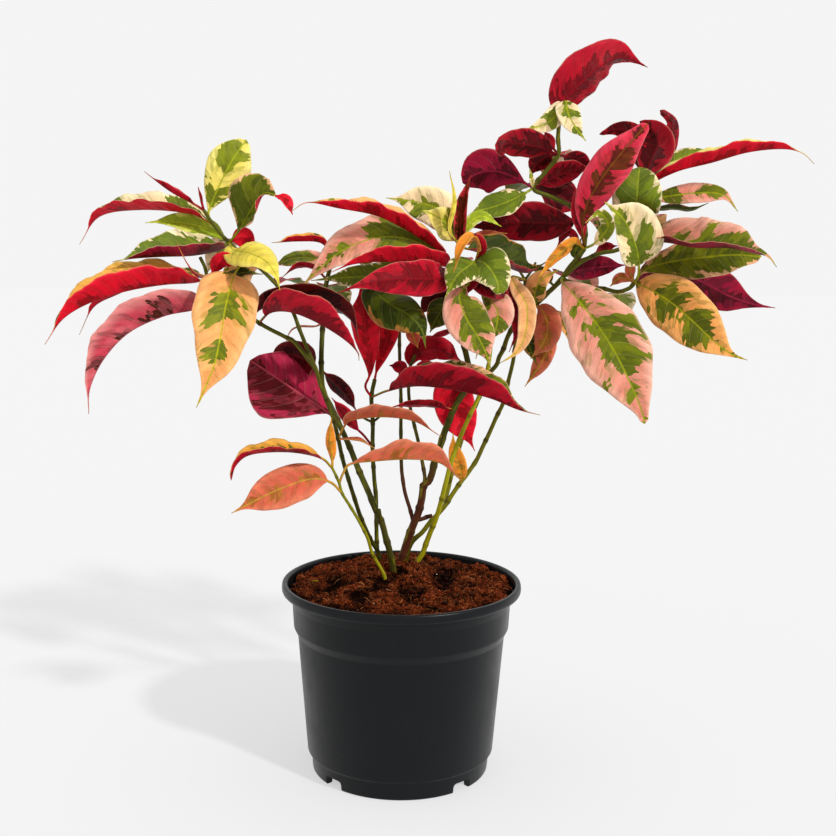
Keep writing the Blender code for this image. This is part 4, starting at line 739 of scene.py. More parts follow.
def bladeMaterial():
    s = Shader("variegatedBlade")
    placed = s.read("bladePlace", "Vector")    # across, along less the veins' slant, own number
    share = s.read("bladeShare")    # 0 at the midrib, 1 at the margin
    halfWidth = s.read("bladeHalf")
    reach = s.read("blotchReach")
    uneven = s.read("blotchUneven")
    ground, margin = s.read("groundTint", "Color"), s.read("marginTint", "Color")
    blotch, vein = s.read("blotchTint", "Color"), s.read("veinTint", "Color")
    parts = s.add("ShaderNodeSeparateXYZ", {"Vector": placed})
    across, along, own = parts.outputs
    # the blotches are made of small cells, each of one colour, in rows along the side veins
    shiftX, shiftY = s.times(own, 3.1), s.times(own, 5.7)
    cellX = s.math("MULTIPLY_ADD", across, blade["cellsAcross"], shiftX)
    cellY = s.math("MULTIPLY_ADD", along, blade["cellsAlong"], shiftY)
    wobble = s.noise(s.scaled(placed, 0.5, 0.5), 1.0, 2.0, 0.6)
    cellX = s.plus(cellX, s.math("MULTIPLY_ADD", wobble, 0.9, -0.45))
    small = s.cells(s.add("ShaderNodeCombineXYZ", {0: cellX, 1: cellY}).outputs[0], dimensions="2D")
    spot = s.add("ShaderNodeSeparateXYZ", {"Vector": small.outputs["Position"]})
    spotX = s.math("DIVIDE", s.math("SUBTRACT", spot.outputs[0], shiftX), blade["cellsAcross"])
    spotY = s.math("DIVIDE", s.math("SUBTRACT", spot.outputs[1], shiftY), blade["cellsAlong"])
    spotShare = s.math("DIVIDE", s.math("ABSOLUTE", spotX), halfWidth)
    spotPlace = s.add("ShaderNodeCombineXYZ", {0: spotX, 1: spotY, 2: own}).outputs[0]
    broad = s.noise(s.scaled(spotPlace, 0.050, 0.060), 1.0, 2.0, 0.5)
    big = s.cells(s.scaled(small.outputs["Position"], 0.42, 0.36), dimensions="2D")
    chanceBig, chanceSmall = s.chance(big), s.chance(small)
    field = s.math("SUBTRACT", s.times(reach, 1.15), spotShare)
    field = s.plus(field, s.times(s.step(broad, 0.25, 0.75, -1.0, 1.0), uneven))
    patchy = s.times(uneven, 0.45)
    field = s.plus(field, s.times(s.math("SUBTRACT", chanceBig, 0.5), patchy))
    field = s.plus(field, s.math("MULTIPLY_ADD", chanceSmall, 0.20, -0.10))
    some = s.step(reach, 0.01, 0.06)
    full = s.times(s.step(field, -0.01, 0.01), some)
    near = s.times(s.step(field, -0.26, -0.22), s.step(chanceSmall, 0.30, 0.42))
    pale = s.times(near, s.times(some, 0.55))
    tone = s.mix(s.step(share, 0.45, 1.0), ground, margin)
    cloud = s.noise(s.scaled(placed, 0.05, 0.05, 1.3), 1.0, 3.0, 0.6)
    tone = s.mix(s.step(cloud, 0.35, 0.7, 0.0, 0.35), tone, margin)
    tone = s.mix(pale, tone, s.mix(0.72, tone, s.mix(0.30, blotch, vein)))
    lighter = s.plus(s.times(chanceBig, 0.6), s.times(chanceSmall, 0.25))
    green = s.mix(s.step(lighter, 0.36, 0.62, 0.0, 0.34), blotch, vein)
    tone = s.mix(full, tone, green)
    # side veins, the midrib and the fine net between them
    crumb = s.noise(s.scaled(placed, 0.45, 0.60), 1.0, 3.0, 0.7)
    period = blade["veinStep"]
    drift = s.noise(s.scaled(placed, 0.0, 0.06), 1.0, 1.0, 0.5)
    moved = s.plus(along, s.math("MULTIPLY_ADD", drift, 7.0, -3.5))
    gap = s.math("ABSOLUTE", s.math("SUBTRACT", s.math("FRACT", s.math("DIVIDE", moved, period)), 0.5))
    away = s.times(gap, period)    # millimetres from the nearest side vein
    sideVein = s.step(away, 0.10, 0.60, 1.0, 0.0)
    sideVein = s.times(sideVein, s.step(share, 0.60, 0.95, 1.0, 0.0))
    midrib = s.step(s.math("ABSOLUTE", across), 0.30, 0.85, 1.0, 0.0)
    net = s.cells(s.scaled(placed, 0.42, 0.42), feature="DISTANCE_TO_EDGE").outputs["Distance"]
    netLine = s.step(net, 0.0, 0.10, 1.0, 0.0)
    paleVein = s.mix(0.22, vein, tint(blade["paleVein"]))
    tone = s.mix(s.times(sideVein, s.read("veinShow")), tone, paleVein)
    tone = s.mix(s.times(netLine, 0.06), tone, vein)
    rim = s.mix(0.25, margin, tint(blade["paleVein"]))
    tone = s.mix(s.times(s.step(share, 0.93, 0.99), 0.5), tone, rim)
    tone = s.mix(s.times(midrib, 0.85), tone, vein)
    bow = s.times(s.times(across, across), blade["veinCurve"])
    slant = s.math("MULTIPLY_ADD", s.math("ABSOLUTE", across), blade["veinSlant"], along)
    slanted = s.plus(bow, slant)
    tone = s.mix(s.step(slanted, -3.0, 1.5, 1.0, 0.0), tone, vein)    # the stalk
    # painted shade, darker along the side veins and lighter between them, random mottling and a few brown
    # specks
    shade = s.step(away, 0.5, period * 0.5, 0.94, 1.03)
    shade = s.plus(shade, s.math("MULTIPLY_ADD", crumb, 0.30, -0.15))
    patch = s.noise(s.scaled(placed, 0.11, 0.13), 1.0, 4.0, 0.65)
    shade = s.plus(shade, s.step(patch, 0.30, 0.70, -0.16, 0.12))
    grey = s.add("ShaderNodeCombineColor", {0: shade, 1: shade, 2: shade}).outputs[0]
    tone = s.mix(1.0, tone, grey, "MULTIPLY")
    speck = s.cells(s.scaled(placed, 0.10, 0.10))
    rare = s.step(s.chance(speck), 0.86, 0.88)
    mark = s.times(s.step(speck.outputs["Distance"], 0.04, 0.09, 0.75, 0.0), rare)
    tone = s.mix(mark, tone, tint(blade["speck"]))
    gloss = s.step(crumb, 0.3, 0.7, blade["gloss"] - 0.04, blade["gloss"] + 0.12)
    height = s.math("MULTIPLY_ADD", sideVein, -1.0, s.times(netLine, -0.25))
    height = s.plus(height, s.times(crumb, 0.5))
    return s.finish(tone, gloss, blade["specular"], s.bump(height, 0.55, 0.0004))


# every stem: its grid, its swollen leaf scars and its bark's patches
twig = {
    "sides": 14,
    "step": 2.4,
    "nodeGap": (13.0, 26.0),
    "nodeSwell": 0.24,
    "rootLevel": 112.0,
    "firstNode": (6, 14),
    "bumps": 0.05,
    "bumpSize": 2.2,
    "corkShare": (0.50, 0.42, 0.45, 1.0),    # of the bark's tint, and what is added to it
    "corkAdded": (0.02, 0.008, 0.003, 0.0),
    "swellLength": 1.5,
    "scarLength": 0.7,
    "patch": "8c860c",
    "scar": "321806",
    "gloss": (0.42, 0.62),
    "specular": 0.12,
}

# bark, given as its tint at the foot and higher up, and the heights between which it changes
barks = {
    "leafy_stem_front_left": ("968e0c", "7c7e10", 150, 200),
    "leafy_stem_left": ("3a3c08", "565a10", 200, 370),
    "leafy_stem_middle_left": ("3c3808", "42460c", 150, 200),
    "leafy_stem_brown": ("48200c", "40420c", 196, 232),
    "leafy_stem_yellow": ("a0980e", "98980e", 160, 240),
    "leafy_stem_right": ("76740e", "565a10", 190, 330),
}


def barkMaterial():
    s = Shader("greenBark")
    placed = s.read("bladePlace", "Vector")    # round the stem, along it, own number
    own = s.read("groundTint", "Color")
    cork = s.read("blotchTint", "Color")
    node = s.read("bladeShare")    # 1 at a leaf scar
    streak = s.noise(s.scaled(placed, 0.9, 0.07), 1.0, 4.0, 0.65)
    pore = s.noise(s.scaled(placed, 1.6, 1.1), 1.0, 2.0, 0.6)
    patch = s.noise(s.scaled(placed, 0.45, 0.05), 1.0, 3.0, 0.6)
    tone = s.mix(s.step(streak, 0.42, 0.66, 0.0, 0.75), own, cork)
    tone = s.mix(s.step(patch, 0.52, 0.68, 0.0, 0.55), tone, tint(twig["patch"]))
    tone = s.mix(s.times(node, 0.75), tone, tint(twig["scar"]))
    gloss = s.step(pore, 0.3, 0.7, *twig["gloss"])
    height = s.plus(streak, s.times(pore, 0.5))
    return s.finish(tone, gloss, twig["specular"], s.bump(height, 0.7, 0.0004))


upward = None    # face value of a leaf whose upper face looks at the sky


# radius at the foot and at the end, then the points
def stem(footRadius, endRadius, *points):
    return {"radii": (footRadius, endRadius), "points": points}


# over, under: coats of the two faces. width: widest part. fold: degrees that both halves rise from flat.
# face: where the upper face looks, 0 at the viewer, 90 up, 180 away; three numbers for base, middle and tip
# where it turns. stalk: bare length. widest: where along the blade. tip: share of the width left at the tip.
# lean: how much further the blotches reach on one half.
def leaf(name, over, width, fold, face, *points, under="crimson", stalk=6.0, widest=0.42, tip=0.0, lean=0.0):
    return {"name": name, "over": over, "under": under, "width": width, "fold": fold, "face": face,
            "points": points, "stalk": stalk, "widest": widest, "tip": tip, "lean": lean}


# a leaf at the back of the plant, which looks at the sky
def backLeaf(name, over, width, *points):
    return leaf(name, over, width, 12, upward, *points)


# Thin stem in front on the left, with the lowest leaves.
frontLeftStems = (
    stem(1.35, 0.95, (-12, 139.4, 2), (-20.7, 156, -2), (-24.5, 168, -6), (-30.5, 180, -10),
         (-37, 191, -14), (-42.5, 200, -18), (-44.5, 207, -20), (-47, 213, -23), (-49.5, 218, -24)),
)
frontLeftLeaves = (
    leaf("lowArch", "orangeTop", 20, 34, (70, 71, 90), (-49.5, 218, -24), (-58, 225.5, -30),
         (-80, 229.5, -44), (-106, 227.5, -57), (-117, 219.5, -61), (-120.5, 208.5, -62), stalk=12,
         tip=0.3),
    leaf("lowFlat", "coral", 28, 5, 10, (-42.5, 200, -18), (-51, 208, -24), (-65, 210, -30),
         (-90, 201, -38), (-120.5, 185, -44), under="coral", stalk=16),
    leaf("lowUpright", "coral", 8, 20, 160, (-49.5, 218, -24), (-49.5, 226, -25), (-51, 238, -27),
         (-50, 254, -30), under="orange", stalk=5),
    leaf("lowPinkArch", "coral", 28, 40, (115, 120, 110), (-44.5, 207, -20), (-42, 214, -22),
         (-37, 221, -24), (-20, 223.5, -28), (5, 225, -32), (26, 222.5, -34), (41, 210, -35),
         under="coral", stalk=18, widest=0.55),
)

# Left stem, forked just above the soil. Its left arm carries the left head.
leftStems = (
    stem(1.7, 1.2, (-16, 154.5, 55), (-17.5, 159, 54), (-20.7, 164, 50), (-24.5, 171.5, 44),
         (-29.7, 184, 36), (-33, 194, 30), (-36.8, 206, 22), (-42.3, 225, 12), (-45.3, 239, 6),
         (-49.4, 255, 0), (-57, 275, -4), (-61, 288, -6), (-66, 300, -6), (-72, 315, -4), (-77, 328, 0),
         (-88, 346, 4), (-105, 362, 6), (-120, 374, 4), (-131, 387, 3), (-137, 396, 2)),
    stem(1.5, 1.2, (-61, 288, -6), (-75, 306, -8), (-82, 310, -8), (-100, 319.5, -8), (-115, 332, -6),
         (-126, 343, -4), (-134.5, 350, -4), (-137, 358, -6), (-140, 364, -7)),
    stem(1.6, 1.5, (-17.5, 159, 54), (-18, 168, 52), (-18.3, 183, 50), (-18.7, 198.5, 48),
         (-19.9, 210, 46), (-21.2, 231.5, 42), (-21.2, 251, 40), (-22.2, 268.5, 38), (-20, 281, 36)),
    stem(1.0, 0.8, (-21.2, 251, 40), (-26, 253, 37), (-32, 257, 34)),
    stem(1.0, 0.8, (-21.2, 251, 40), (-17, 254.5, 38), (-14, 259, 36)),
)
leftLeaves = (
    leaf("creamArch", "creamGreen", 28, 43, (70, 75, 90), (-131, 387, 3), (-147, 394, 8),
         (-180, 396, 20), (-208, 391, 30), (-222, 372, 36), under="brightRed", lean=-0.2),
    leaf("redSpike", "redGreen", 8, 60, (85, 90, 90), (-137, 396, 2), (-146, 401.5, -2),
         (-160, 409, -6), (-177, 421.5, -10)),
    leaf("redBud", "crimson", 4, 30, 60, (-137, 396, 2), (-139, 404, 0), (-140.5, 411.5, -2), stalk=3),
    leaf("yellowUpright", "yellowGreen", 29, 5, 5, (-131, 387, 3), (-134, 393, 4), (-131, 402, 4),
         (-125.5, 414, 4), (-117, 430, 7), (-107.5, 443, 13), stalk=8, widest=0.58, tip=0.5),
    leaf("greenPeachTop", "greenPeach", 42, 39, 36, (-120, 374, 4), (-113, 383, 0), (-107, 393, -5),
         (-101, 402.5, -10), (-95, 408, -14), (-86, 405.5, -18), stalk=10, widest=0.62),
    leaf("lightGreen", "lightGreen", 16, 25, (15, 15, 40), (-120, 374, 4), (-127, 379, 10),
         (-135, 383.5, 14), (-150, 387, 16), (-165, 388, 14), (-177, 387, 12), stalk=5),
    leaf("greenOverCrimson", "greenCream", 36, 47, (66, 66, 80), (-120, 374, 4), (-128, 369, -6),
         (-145, 365.5, -20), (-165, 364.5, -32), (-185, 363, -42), (-200, 360.5, -48), under="wine"),
    leaf("bigRed", "orangeTop", 40, 55, (65, 78, 92), (-134.5, 350, -4), (-145, 347, -10),
         (-165, 345.5, -26), (-190, 341, -44), (-215, 333, -58), (-235, 321, -66), (-248, 303, -70),
         under="brightRed"),
    leaf("underBigRed", "greenCream", 20, 50, (85, 85, 90), (-134.5, 350, -4), (-150, 351, 12),
         (-175, 347, 24), (-198, 338, 32), (-214, 329, 36), (-224, 310, 38)),
    leaf("pinkUnderside", "pinkGreen", 40, 39, (115, 115, 110), (-126, 343, -4), (-140, 330, -10),
         (-165, 324, -22), (-190, 312, -34), (-208, 293, -42), (-218, 272, -46), (-219, 255, -47),
         under="pinkPatched"),
    leaf("hangingPeach", "peach", 43, 8, 0, (-108, 364, 6), (-114, 357, -6), (-118, 349, -18),
         (-123, 330, -32), (-127, 308, -42), (-132, 288, -48), (-144, 260, -52), stalk=24, widest=0.27),
    leaf("crimsonFan", "greenPeach", 54, 14, 197, (-49.4, 255, 0), (-58, 261.5, 3), (-75, 272.5, 8),
         (-92, 284, 11), (-106.5, 293.5, 14), under="magenta", stalk=2, widest=0.6, tip=0.6, lean=-0.8),
    leaf("behindCrimsonFan", "darkGreen", 24, 10, 150, (-61, 288, -6), (-66, 293, 12), (-76, 297, 22),
         (-86, 297, 29), (-97, 291, 32), under="maroon"),
    leaf("yellowBent", "yellow", 25, -5, 40, (-120, 374, 4), (-117, 369, -10), (-106, 367, -26),
         (-95, 361.5, -36), (-88, 352, -41), (-85.5, 342, -43)),
    leaf("crimsonCurl", "greenPeach", 15, 5, 170, (-120, 374, 4), (-115.5, 376.5, 5),
         (-109.5, 377.5, 7), (-102.5, 373.5, 8), under="brightRed", stalk=3, tip=0.35),
    leaf("crimsonSmall", "greenPeach", 13, 10, 150, (-134.5, 350, -4), (-130, 356, -8),
         (-124, 362, -11), (-110, 361, -13), under="brightRed"),
    leaf("darkSmall", "darkGreen", 13, 10, 60, (-134.5, 350, -4), (-124, 350, -6), (-112, 353.5, -8),
         (-97, 353, -10), under="maroon"),
    leaf("orangeThread", "orangeTop", 4, 20, 90, (-134.5, 350, -4), (-145, 355, -30), (-151, 364, -42),
         (-155.5, 373, -46), under="brightRed", stalk=12),
    leaf("crimsonBehindStems", "coral", 10, 10, 170, (-21, 233, 42), (-27, 241, 40), (-33, 247, 38),
         (-40, 256, 36), (-50, 268, 34), stalk=18),
    leaf("maroonArch", "greenPeach", 32, 15, 120, (-104, 323, -8), (-101, 328, -12), (-90, 334, -16),
         (-70, 335.5, -16), (-50, 332, -14), (-36, 322, -8), (-31, 308, -6), under="maroon"),
    leaf("crimsonArch", "greenPeach", 36, 45, (85, 105, 110), (-100, 319.5, -8), (-92, 327, -18),
         (-78, 327.5, -32), (-60, 320.5, -42), (-42, 309.5, -46), (-32, 300, -47), (-31, 294, -47),
         stalk=10),
    leaf("longCrimson", "greenPeach", 44, 58, (80, 82, 82), (-22.2, 268.5, 38), (-10, 273.5, 22),
         (10, 277, 2), (35, 274.5, -14), (60, 269, -24), (80, 261, -29), (96, 257, -31), stalk=22,
         widest=0.5),
    leaf("redUpright", "brightRed", 18, 30, 0, (-20, 281, 36), (-18.5, 288, 32), (-14.5, 300, 28),
         (-10, 318, 26), (-8, 335, 26), (-7, 347, 27), under="brightRed", stalk=3, widest=0.6),
    leaf("redUprightLeft", "coral", 23, 20, 170, (-22.2, 268.5, 38), (-26.5, 276, 30),
         (-23.5, 285, 24), (-24.5, 300, 20), (-27, 318, 18), (-29, 338, 18), (-30.5, 350, 20),
         under="brightRed", stalk=20, widest=0.6),
    leaf("redTipLeft", "brightRed", 9, 15, 40, (-88, 406, -17), (-83, 404.5, -19), (-79.5, 400, -21),
         (-76.5, 393.5, -22), stalk=1),
    leaf("lowOrangeArch", "coral", 24, 30, 100, (-45.3, 239, 6), (-41, 248, -2), (-36, 252.5, -8),
         (-15, 255, -18), (8, 252, -24), (27, 241, -27), under="coral", stalk=16),
    leaf("lowDarkOrange", "coral", 7, 20, 70, (-45.3, 239, 6), (-36, 238.5, -2), (-28, 237, -6),
         (-20, 232.5, -9), under="orange", stalk=3),
    backLeaf("backUpperLeft", "creamGreen", 26, (-120, 374, 4), (-119, 376, 24), (-127, 366, 44),
             (-138, 350, 56)),
    backLeaf("backUnderPeach", "peach", 28, (-108, 364, 6), (-110, 358, 26), (-118, 338, 40),
             (-123, 312, 44)),
    backLeaf("backMiddleLeft", "greenCream", 18, (-88, 346, 4), (-82, 349, 28), (-70, 346, 46),
             (-54, 338, 54)),
)

# Middle left stem, with the stub of a pruned shoot.
middleLeftStems = (
    stem(2.5, 1.5, (-6, 144.6, 17), (-8.4, 157, 15), (-11.4, 168, 14), (-14.4, 179, 14),
         (-18.9, 188.5, 14), (-24.1, 201.5, 14), (-30.1, 215, 14), (-36.8, 232, 14), (-40.8, 241, 14),
         (-45.3, 251, 15), (-50.5, 262, 17), (-55.8, 273, 18), (-57, 287, 19), (-57, 300, 22),
         (-56, 320, 28), (-54, 345, 32), (-49, 366, 30), (-47.5, 379, 28)),
    stem(1.6, 1.5, (-14.4, 179, 14), (-15.8, 184, 12), (-16.6, 188.5, 10.5)),
)
middleLeftLeaves = (
    leaf("orangeRedLeft", "orangeTop", 13, 50, 80, (-49, 366, 30), (-57, 375, 26), (-72, 376, 22),
         (-91, 374.5, 18), under="brightRed"),
    leaf("pinkGreenLeft", "pinkGreen", 17, 5, 50, (-49, 366, 30), (-60, 364, 36), (-75, 364, 42),
         (-92, 358, 46)),
    leaf("crimsonNarrowLeft", "greenPeach", 9, 10, 120, (-53.5, 350, 32), (-62, 357.5, 20),
         (-74, 358.5, 14), (-84, 351, 10)),
    leaf("maroonRightOfStem", "greenPeach", 15, 5, 140, (-57, 287, 19), (-49, 280, 22), (-40, 270, 24),
         (-32, 258, 24), under="maroon", stalk=4),
    leaf("paleRedTip", "coral", 6, 20, 90, (-56, 320, 28), (-62, 317.5, 34), (-73, 317, 38),
         (-79, 313, 40), (-82.5, 303, 40), under="coral", stalk=4),
    backLeaf("backUpper", "pinkGreen", 28, (-49, 366, 30), (-44, 369, 54), (-32, 364, 76),
             (-18, 350, 90)),
    backLeaf("backLower", "greenCream", 24, (-54, 345, 32), (-51, 345, 54), (-44, 337, 74),
             (-34, 325, 84)),
)

# Old brown stem in the middle, with two thin side stems, a stub and the middle head.
brownStems = (
    stem(3.1, 1.6, (-0.6, 148.5, 28), (3.5, 165, 27), (8, 178, 26), (11.5, 187, 26), (13.7, 197, 25),
         (14.9, 206, 24), (18.4, 209, 24), (20.7, 215, 24), (22.9, 225.5, 24), (26.6, 236, 24),
         (28.9, 244, 23), (31.9, 252, 22), (35, 260, 21), (39, 268, 20), (43, 274, 19), (46, 285, 18),
         (43, 300, 17), (38, 320, 16), (34, 340, 14), (34, 358, 10), (38, 373, 8)),
    stem(1.35, 1.15, (14.9, 206, 24), (15.6, 212, 26), (13.7, 223, 28), (10.6, 238, 31), (7.6, 250, 33),
         (4.8, 262, 35), (3.6, 274, 36), (4, 288, 36), (8, 298, 34)),
    stem(1.4, 1.15, (8, 178, 26), (6, 187, 30), (2, 200, 34), (0.2, 210, 36), (-0.9, 220, 38),
         (-1.5, 244, 40), (-1.7, 269, 41), (-2.6, 290, 41), (-3, 303, 40), (-4, 320, 38),
         (-12, 337, 32), (-22, 350, 24)),
    stem(1.7, 1.3, (9.5, 181, 26), (14, 182, 27), (17, 183.3, 28), (21, 184.6, 28.5)),
)
brownLeaves = (
    leaf("longRedTop", "peach", 22, 56, (81, 81, 85), (34, 358, 10), (29, 366, 4), (20, 373, -2),
         (0, 385, -12), (-20, 394, -20), (-45, 398.5, -28), (-66, 402, -34), (-77, 396, -36),
         under="brightRed", stalk=12),
    leaf("pinkGreenBig", "pinkGreen", 34, 10, 35, (34, 358, 10), (10, 375, 2), (-15, 379, -4),
         (-40, 371, -8), (-58, 357, -10), (-73.5, 342, -11), stalk=10, lean=-0.2),
    leaf("redMiddle", "greenPeach", 30, 28, 110, (34, 358, 10), (20, 361.5, -8), (0, 362.5, -20),
         (-20, 362.5, -28), (-38, 360, -33), (-51, 354.5, -35), under="brightRed"),
    leaf("crimsonBig", "greenPeach", 25, 8, 170, (34, 358, 10), (26, 352, -16), (10, 351, -38),
         (-10, 350.5, -50), (-30, 346.5, -57), (-46, 340.5, -60)),
    leaf("darkGreenHanging", "darkGreen", 33, -25, 20, (-22, 350, 24), (-20, 342, 10), (-9, 333, 0),
         (3, 326, -6), (12, 316.5, -10), (15.3, 303, -13), under="brightRed", stalk=4),
    leaf("greenBehindCrimson", "greenCream", 22, 5, 20, (34, 358, 10), (10, 352, 12), (-20, 352, 14),
         (-45, 351, 15), (-64, 349, 15)),
    leaf("creamGreenBack", "creamGreen", 28, 5, 10, (38, 373, 8), (34, 386, 13), (23, 398, 17),
         (8, 403, 22), (-13, 405.5, 28)),
    leaf("yellowGreen", "yellowGreen", 22, 5, 20, (38, 373, 8), (34, 382, 2), (27, 390, -2),
         (18, 395, -4), (11.5, 397.5, -5)),
    leaf("crimsonUpright", "redGreen", 14, 50, 5, (38, 373, 8), (38, 385, 0), (39, 402, -5),
         (44.5, 421.5, -8), stalk=4),
    leaf("yellowRedYoung", "yellow", 7, 20, 60, (38, 373, 8), (30, 386, -12), (33, 406, -16),
         (30, 424, -16), under="brightRed", stalk=14),
    leaf("oliveTip", "lightGreen", 9, 10, 20, (38, 373, 8), (42, 386, 10), (52, 394, 10), (66, 387, 8)),
    leaf("darkGreenRight", "darkGreen", 40, 43, 61, (38, 373, 8), (52, 369, 13), (70, 360, 17),
         (85, 356, 17), (98, 364, 15)),
    leaf("coralRight", "coral", 8, 5, 150, (38, 373, 8), (46, 378, 20), (58, 382, 27), (70, 382.5, 28),
         under="coral"),
    leaf("crimsonPairUpper", "crimson", 22, 5, 30, (4, 288, 36), (8, 299, 40), (24, 303, 40),
         (42, 293, 38), stalk=3),
    leaf("crimsonPairLower", "crimson", 12, 5, 160, (4, 286, 36), (14, 289, 28), (30, 287, 22)),
    leaf("crimsonPairLeft", "crimson", 10, 5, 160, (4, 288, 36), (-3, 290, 32), (-10, 291, 30),
         stalk=2),
    leaf("darkOrangeHanging", "darkGreen", 20, 5, 20, (34, 342, 14), (28, 333, 16), (22, 323, 18),
         (18, 314, 18)),
    leaf("maroonHanging", "darkGreen", 16, 5, 160, (34, 345, 13), (27, 342, 22), (18, 335, 26),
         (10, 325, 28), under="maroon"),
    leaf("paleRedHanging", "coral", 11, 5, 160, (-4, 320, 38), (4, 316, 36), (10, 303, 34),
         under="coral"),
    leaf("crimsonStrip", "crimson", 8, 5, 120, (38, 320, 16), (34, 316, 22), (26, 313, 24),
         (16, 310, 26)),
    leaf("redHanging", "brightRed", 31, 8, 10, (45, 287, 18), (37, 280, 26), (34.5, 268, 29),
         (40, 253, 30), (50.5, 231, 30), under="brightRed", widest=0.38),
    leaf("crimsonLowSmall", "coral", 12, 10, 120, (35, 260, 21), (24, 262.5, 14), (10, 264, 8),
         (-2, 263, 4), (-10, 261, 2)),
    backLeaf("backOfHead", "pinkGreen", 28, (34, 358, 10), (35, 363, 34), (26, 360, 54), (10, 350, 66)),
    backLeaf("backOfSideStem", "creamGreen", 22, (-4, 320, 38), (-5, 326, 56), (-9, 324, 74),
             (-14, 310, 82)),
)

# Yellow-green stem right of the middle.
yellowStems = (
    stem(2.1, 1.0, (10, 148, 32), (14.7, 157, 30), (17.7, 166, 28), (21.4, 176, 24), (23.6, 181.5, 22),
         (26.6, 191.5, 18), (28.9, 201.5, 15), (31.1, 211, 13), (33.7, 222, 12), (36.7, 231.5, 11),
         (40, 240.5, 10), (43.8, 250, 9), (47.5, 258.5, 8), (52.8, 270, 7), (57, 283, 6), (60, 300, 6),
         (60, 320, 6), (54, 340, 6), (49, 364, 5)),
)
yellowLeaves = (
    leaf("pinkGreenHanging", "pinkGreen", 30, 0, 5, (50, 352, 4), (41, 345, -8), (38, 338, -13),
         (43, 324, -17), (51, 312, -19), (57, 300, -20), (60.5, 289.5, -20), stalk=14, widest=0.45),
    leaf("pinkGreenInner", "pinkGreen", 24, 0, 0, (54, 340, 6), (60, 336, -2), (64.5, 329, -7),
         (64, 319, -11), (60, 307, -13), stalk=3, widest=0.35),
    leaf("crimsonBehindCream", "darkCrimson", 22, 10, 20, (49, 364, 5), (50, 356, 2), (56, 349, -2),
         (66, 343, -4), (75, 337, -3), stalk=5, widest=0.4),
    leaf("crimsonBehindLeft", "darkCrimson", 16, 10, 20, (49, 364, 5), (46, 354, 0), (40, 345, -3),
         (33, 336, -4), stalk=4),
    leaf("creamEdgeLeft", "greenCream", 22, 5, 20, (49, 364, 5), (44, 360, -12), (36, 353, -22),
         (28, 338, -26), stalk=6),
    leaf("creamEdgeRight", "greenCream", 29, 5, 15, (49, 364, 5), (55, 362, -10), (61, 355, -16),
         (64.5, 347, -19), (64, 340.5, -20), stalk=4, tip=0.45),
    leaf("orangeFold", "orange", 12, 20, (100, 60, 40), (49, 364, 5), (50.5, 373, -8), (45, 379, -20),
         (38.5, 371, -28), (33.5, 355, -31), under="orange", stalk=10),
    leaf("crimsonBit", "crimson", 7, 10, 160, (49, 364, 5), (53, 371, -6), (51, 379, -12),
         (45, 383, -14), stalk=8),
    backLeaf("backOfStem", "peach", 18, (60, 320, 6), (58, 320, 26), (54, 311, 42), (50, 296, 48)),
)

# Right stem, forked above the soil, with the right head and the tall top shoot.
rightStems = (
    stem(1.9, 1.3, (2.9, 153, 43), (7.2, 165.5, 40), (14, 172, 38), (20, 180, 36), (25, 185.5, 35),
         (30.4, 192, 34), (34.9, 199.5, 34), (40.8, 208.5, 35), (46, 215.5, 36), (52, 225, 38),
         (55.7, 233.5, 40), (60.2, 243.5, 42), (65.4, 256, 44), (69.9, 266, 46), (73, 281, 47),
         (76, 295, 46), (78, 312, 42), (83, 332, 36), (83, 351, 30)),
    stem(1.5, 1.8, (30.4, 192, 34), (30.8, 197, 36), (32.6, 206, 38), (34.1, 212, 40), (36, 220, 42),
         (40, 235, 44), (44, 248, 44), (50, 262, 44), (55, 275, 44), (59, 285, 43), (64.5, 292, 42),
         (66, 297, 41), (69, 303, 40), (72, 312, 38), (78, 323, 34), (85, 330, 30), (90.5, 333.7, 27),
         (97.5, 341, 24), (103.4, 346.5, 22), (109, 353, 19), (113.2, 359.6, 16), (117.4, 364.7, 14),
         (123, 372.7, 10)),
    stem(1.5, 1.4, (109, 353, 19), (119.6, 362.5, 14), (127.5, 367, 12), (135.5, 370, 10),
         (145, 371.8, 8), (156, 378, 8), (162, 392, 10), (164, 406, 12), (162, 420, 14)),
    stem(1.6, 1.4, (108, 352, 19), (122, 347, 20), (137, 345.5, 16), (147, 343.5, 12), (155, 346, 8),
         (158.3, 350, 6)),
    stem(1.6, 1.4, (123, 372.7, 10), (123.4, 380, 9), (123.4, 386, 9), (121, 394, 14), (112, 402, 22),
         (98, 408, 26), (87, 413, 24), (95, 424, 20), (103.5, 435.5, 16), (103, 447, 14),
         (104, 460, 12), (107.5, 472, 10)),
    stem(1.0, 0.8, (83, 351, 30), (79, 357, 29), (76, 362, 28)),
    stem(1.0, 0.8, (83, 351, 30), (87, 357, 29), (90, 363, 28)),
)
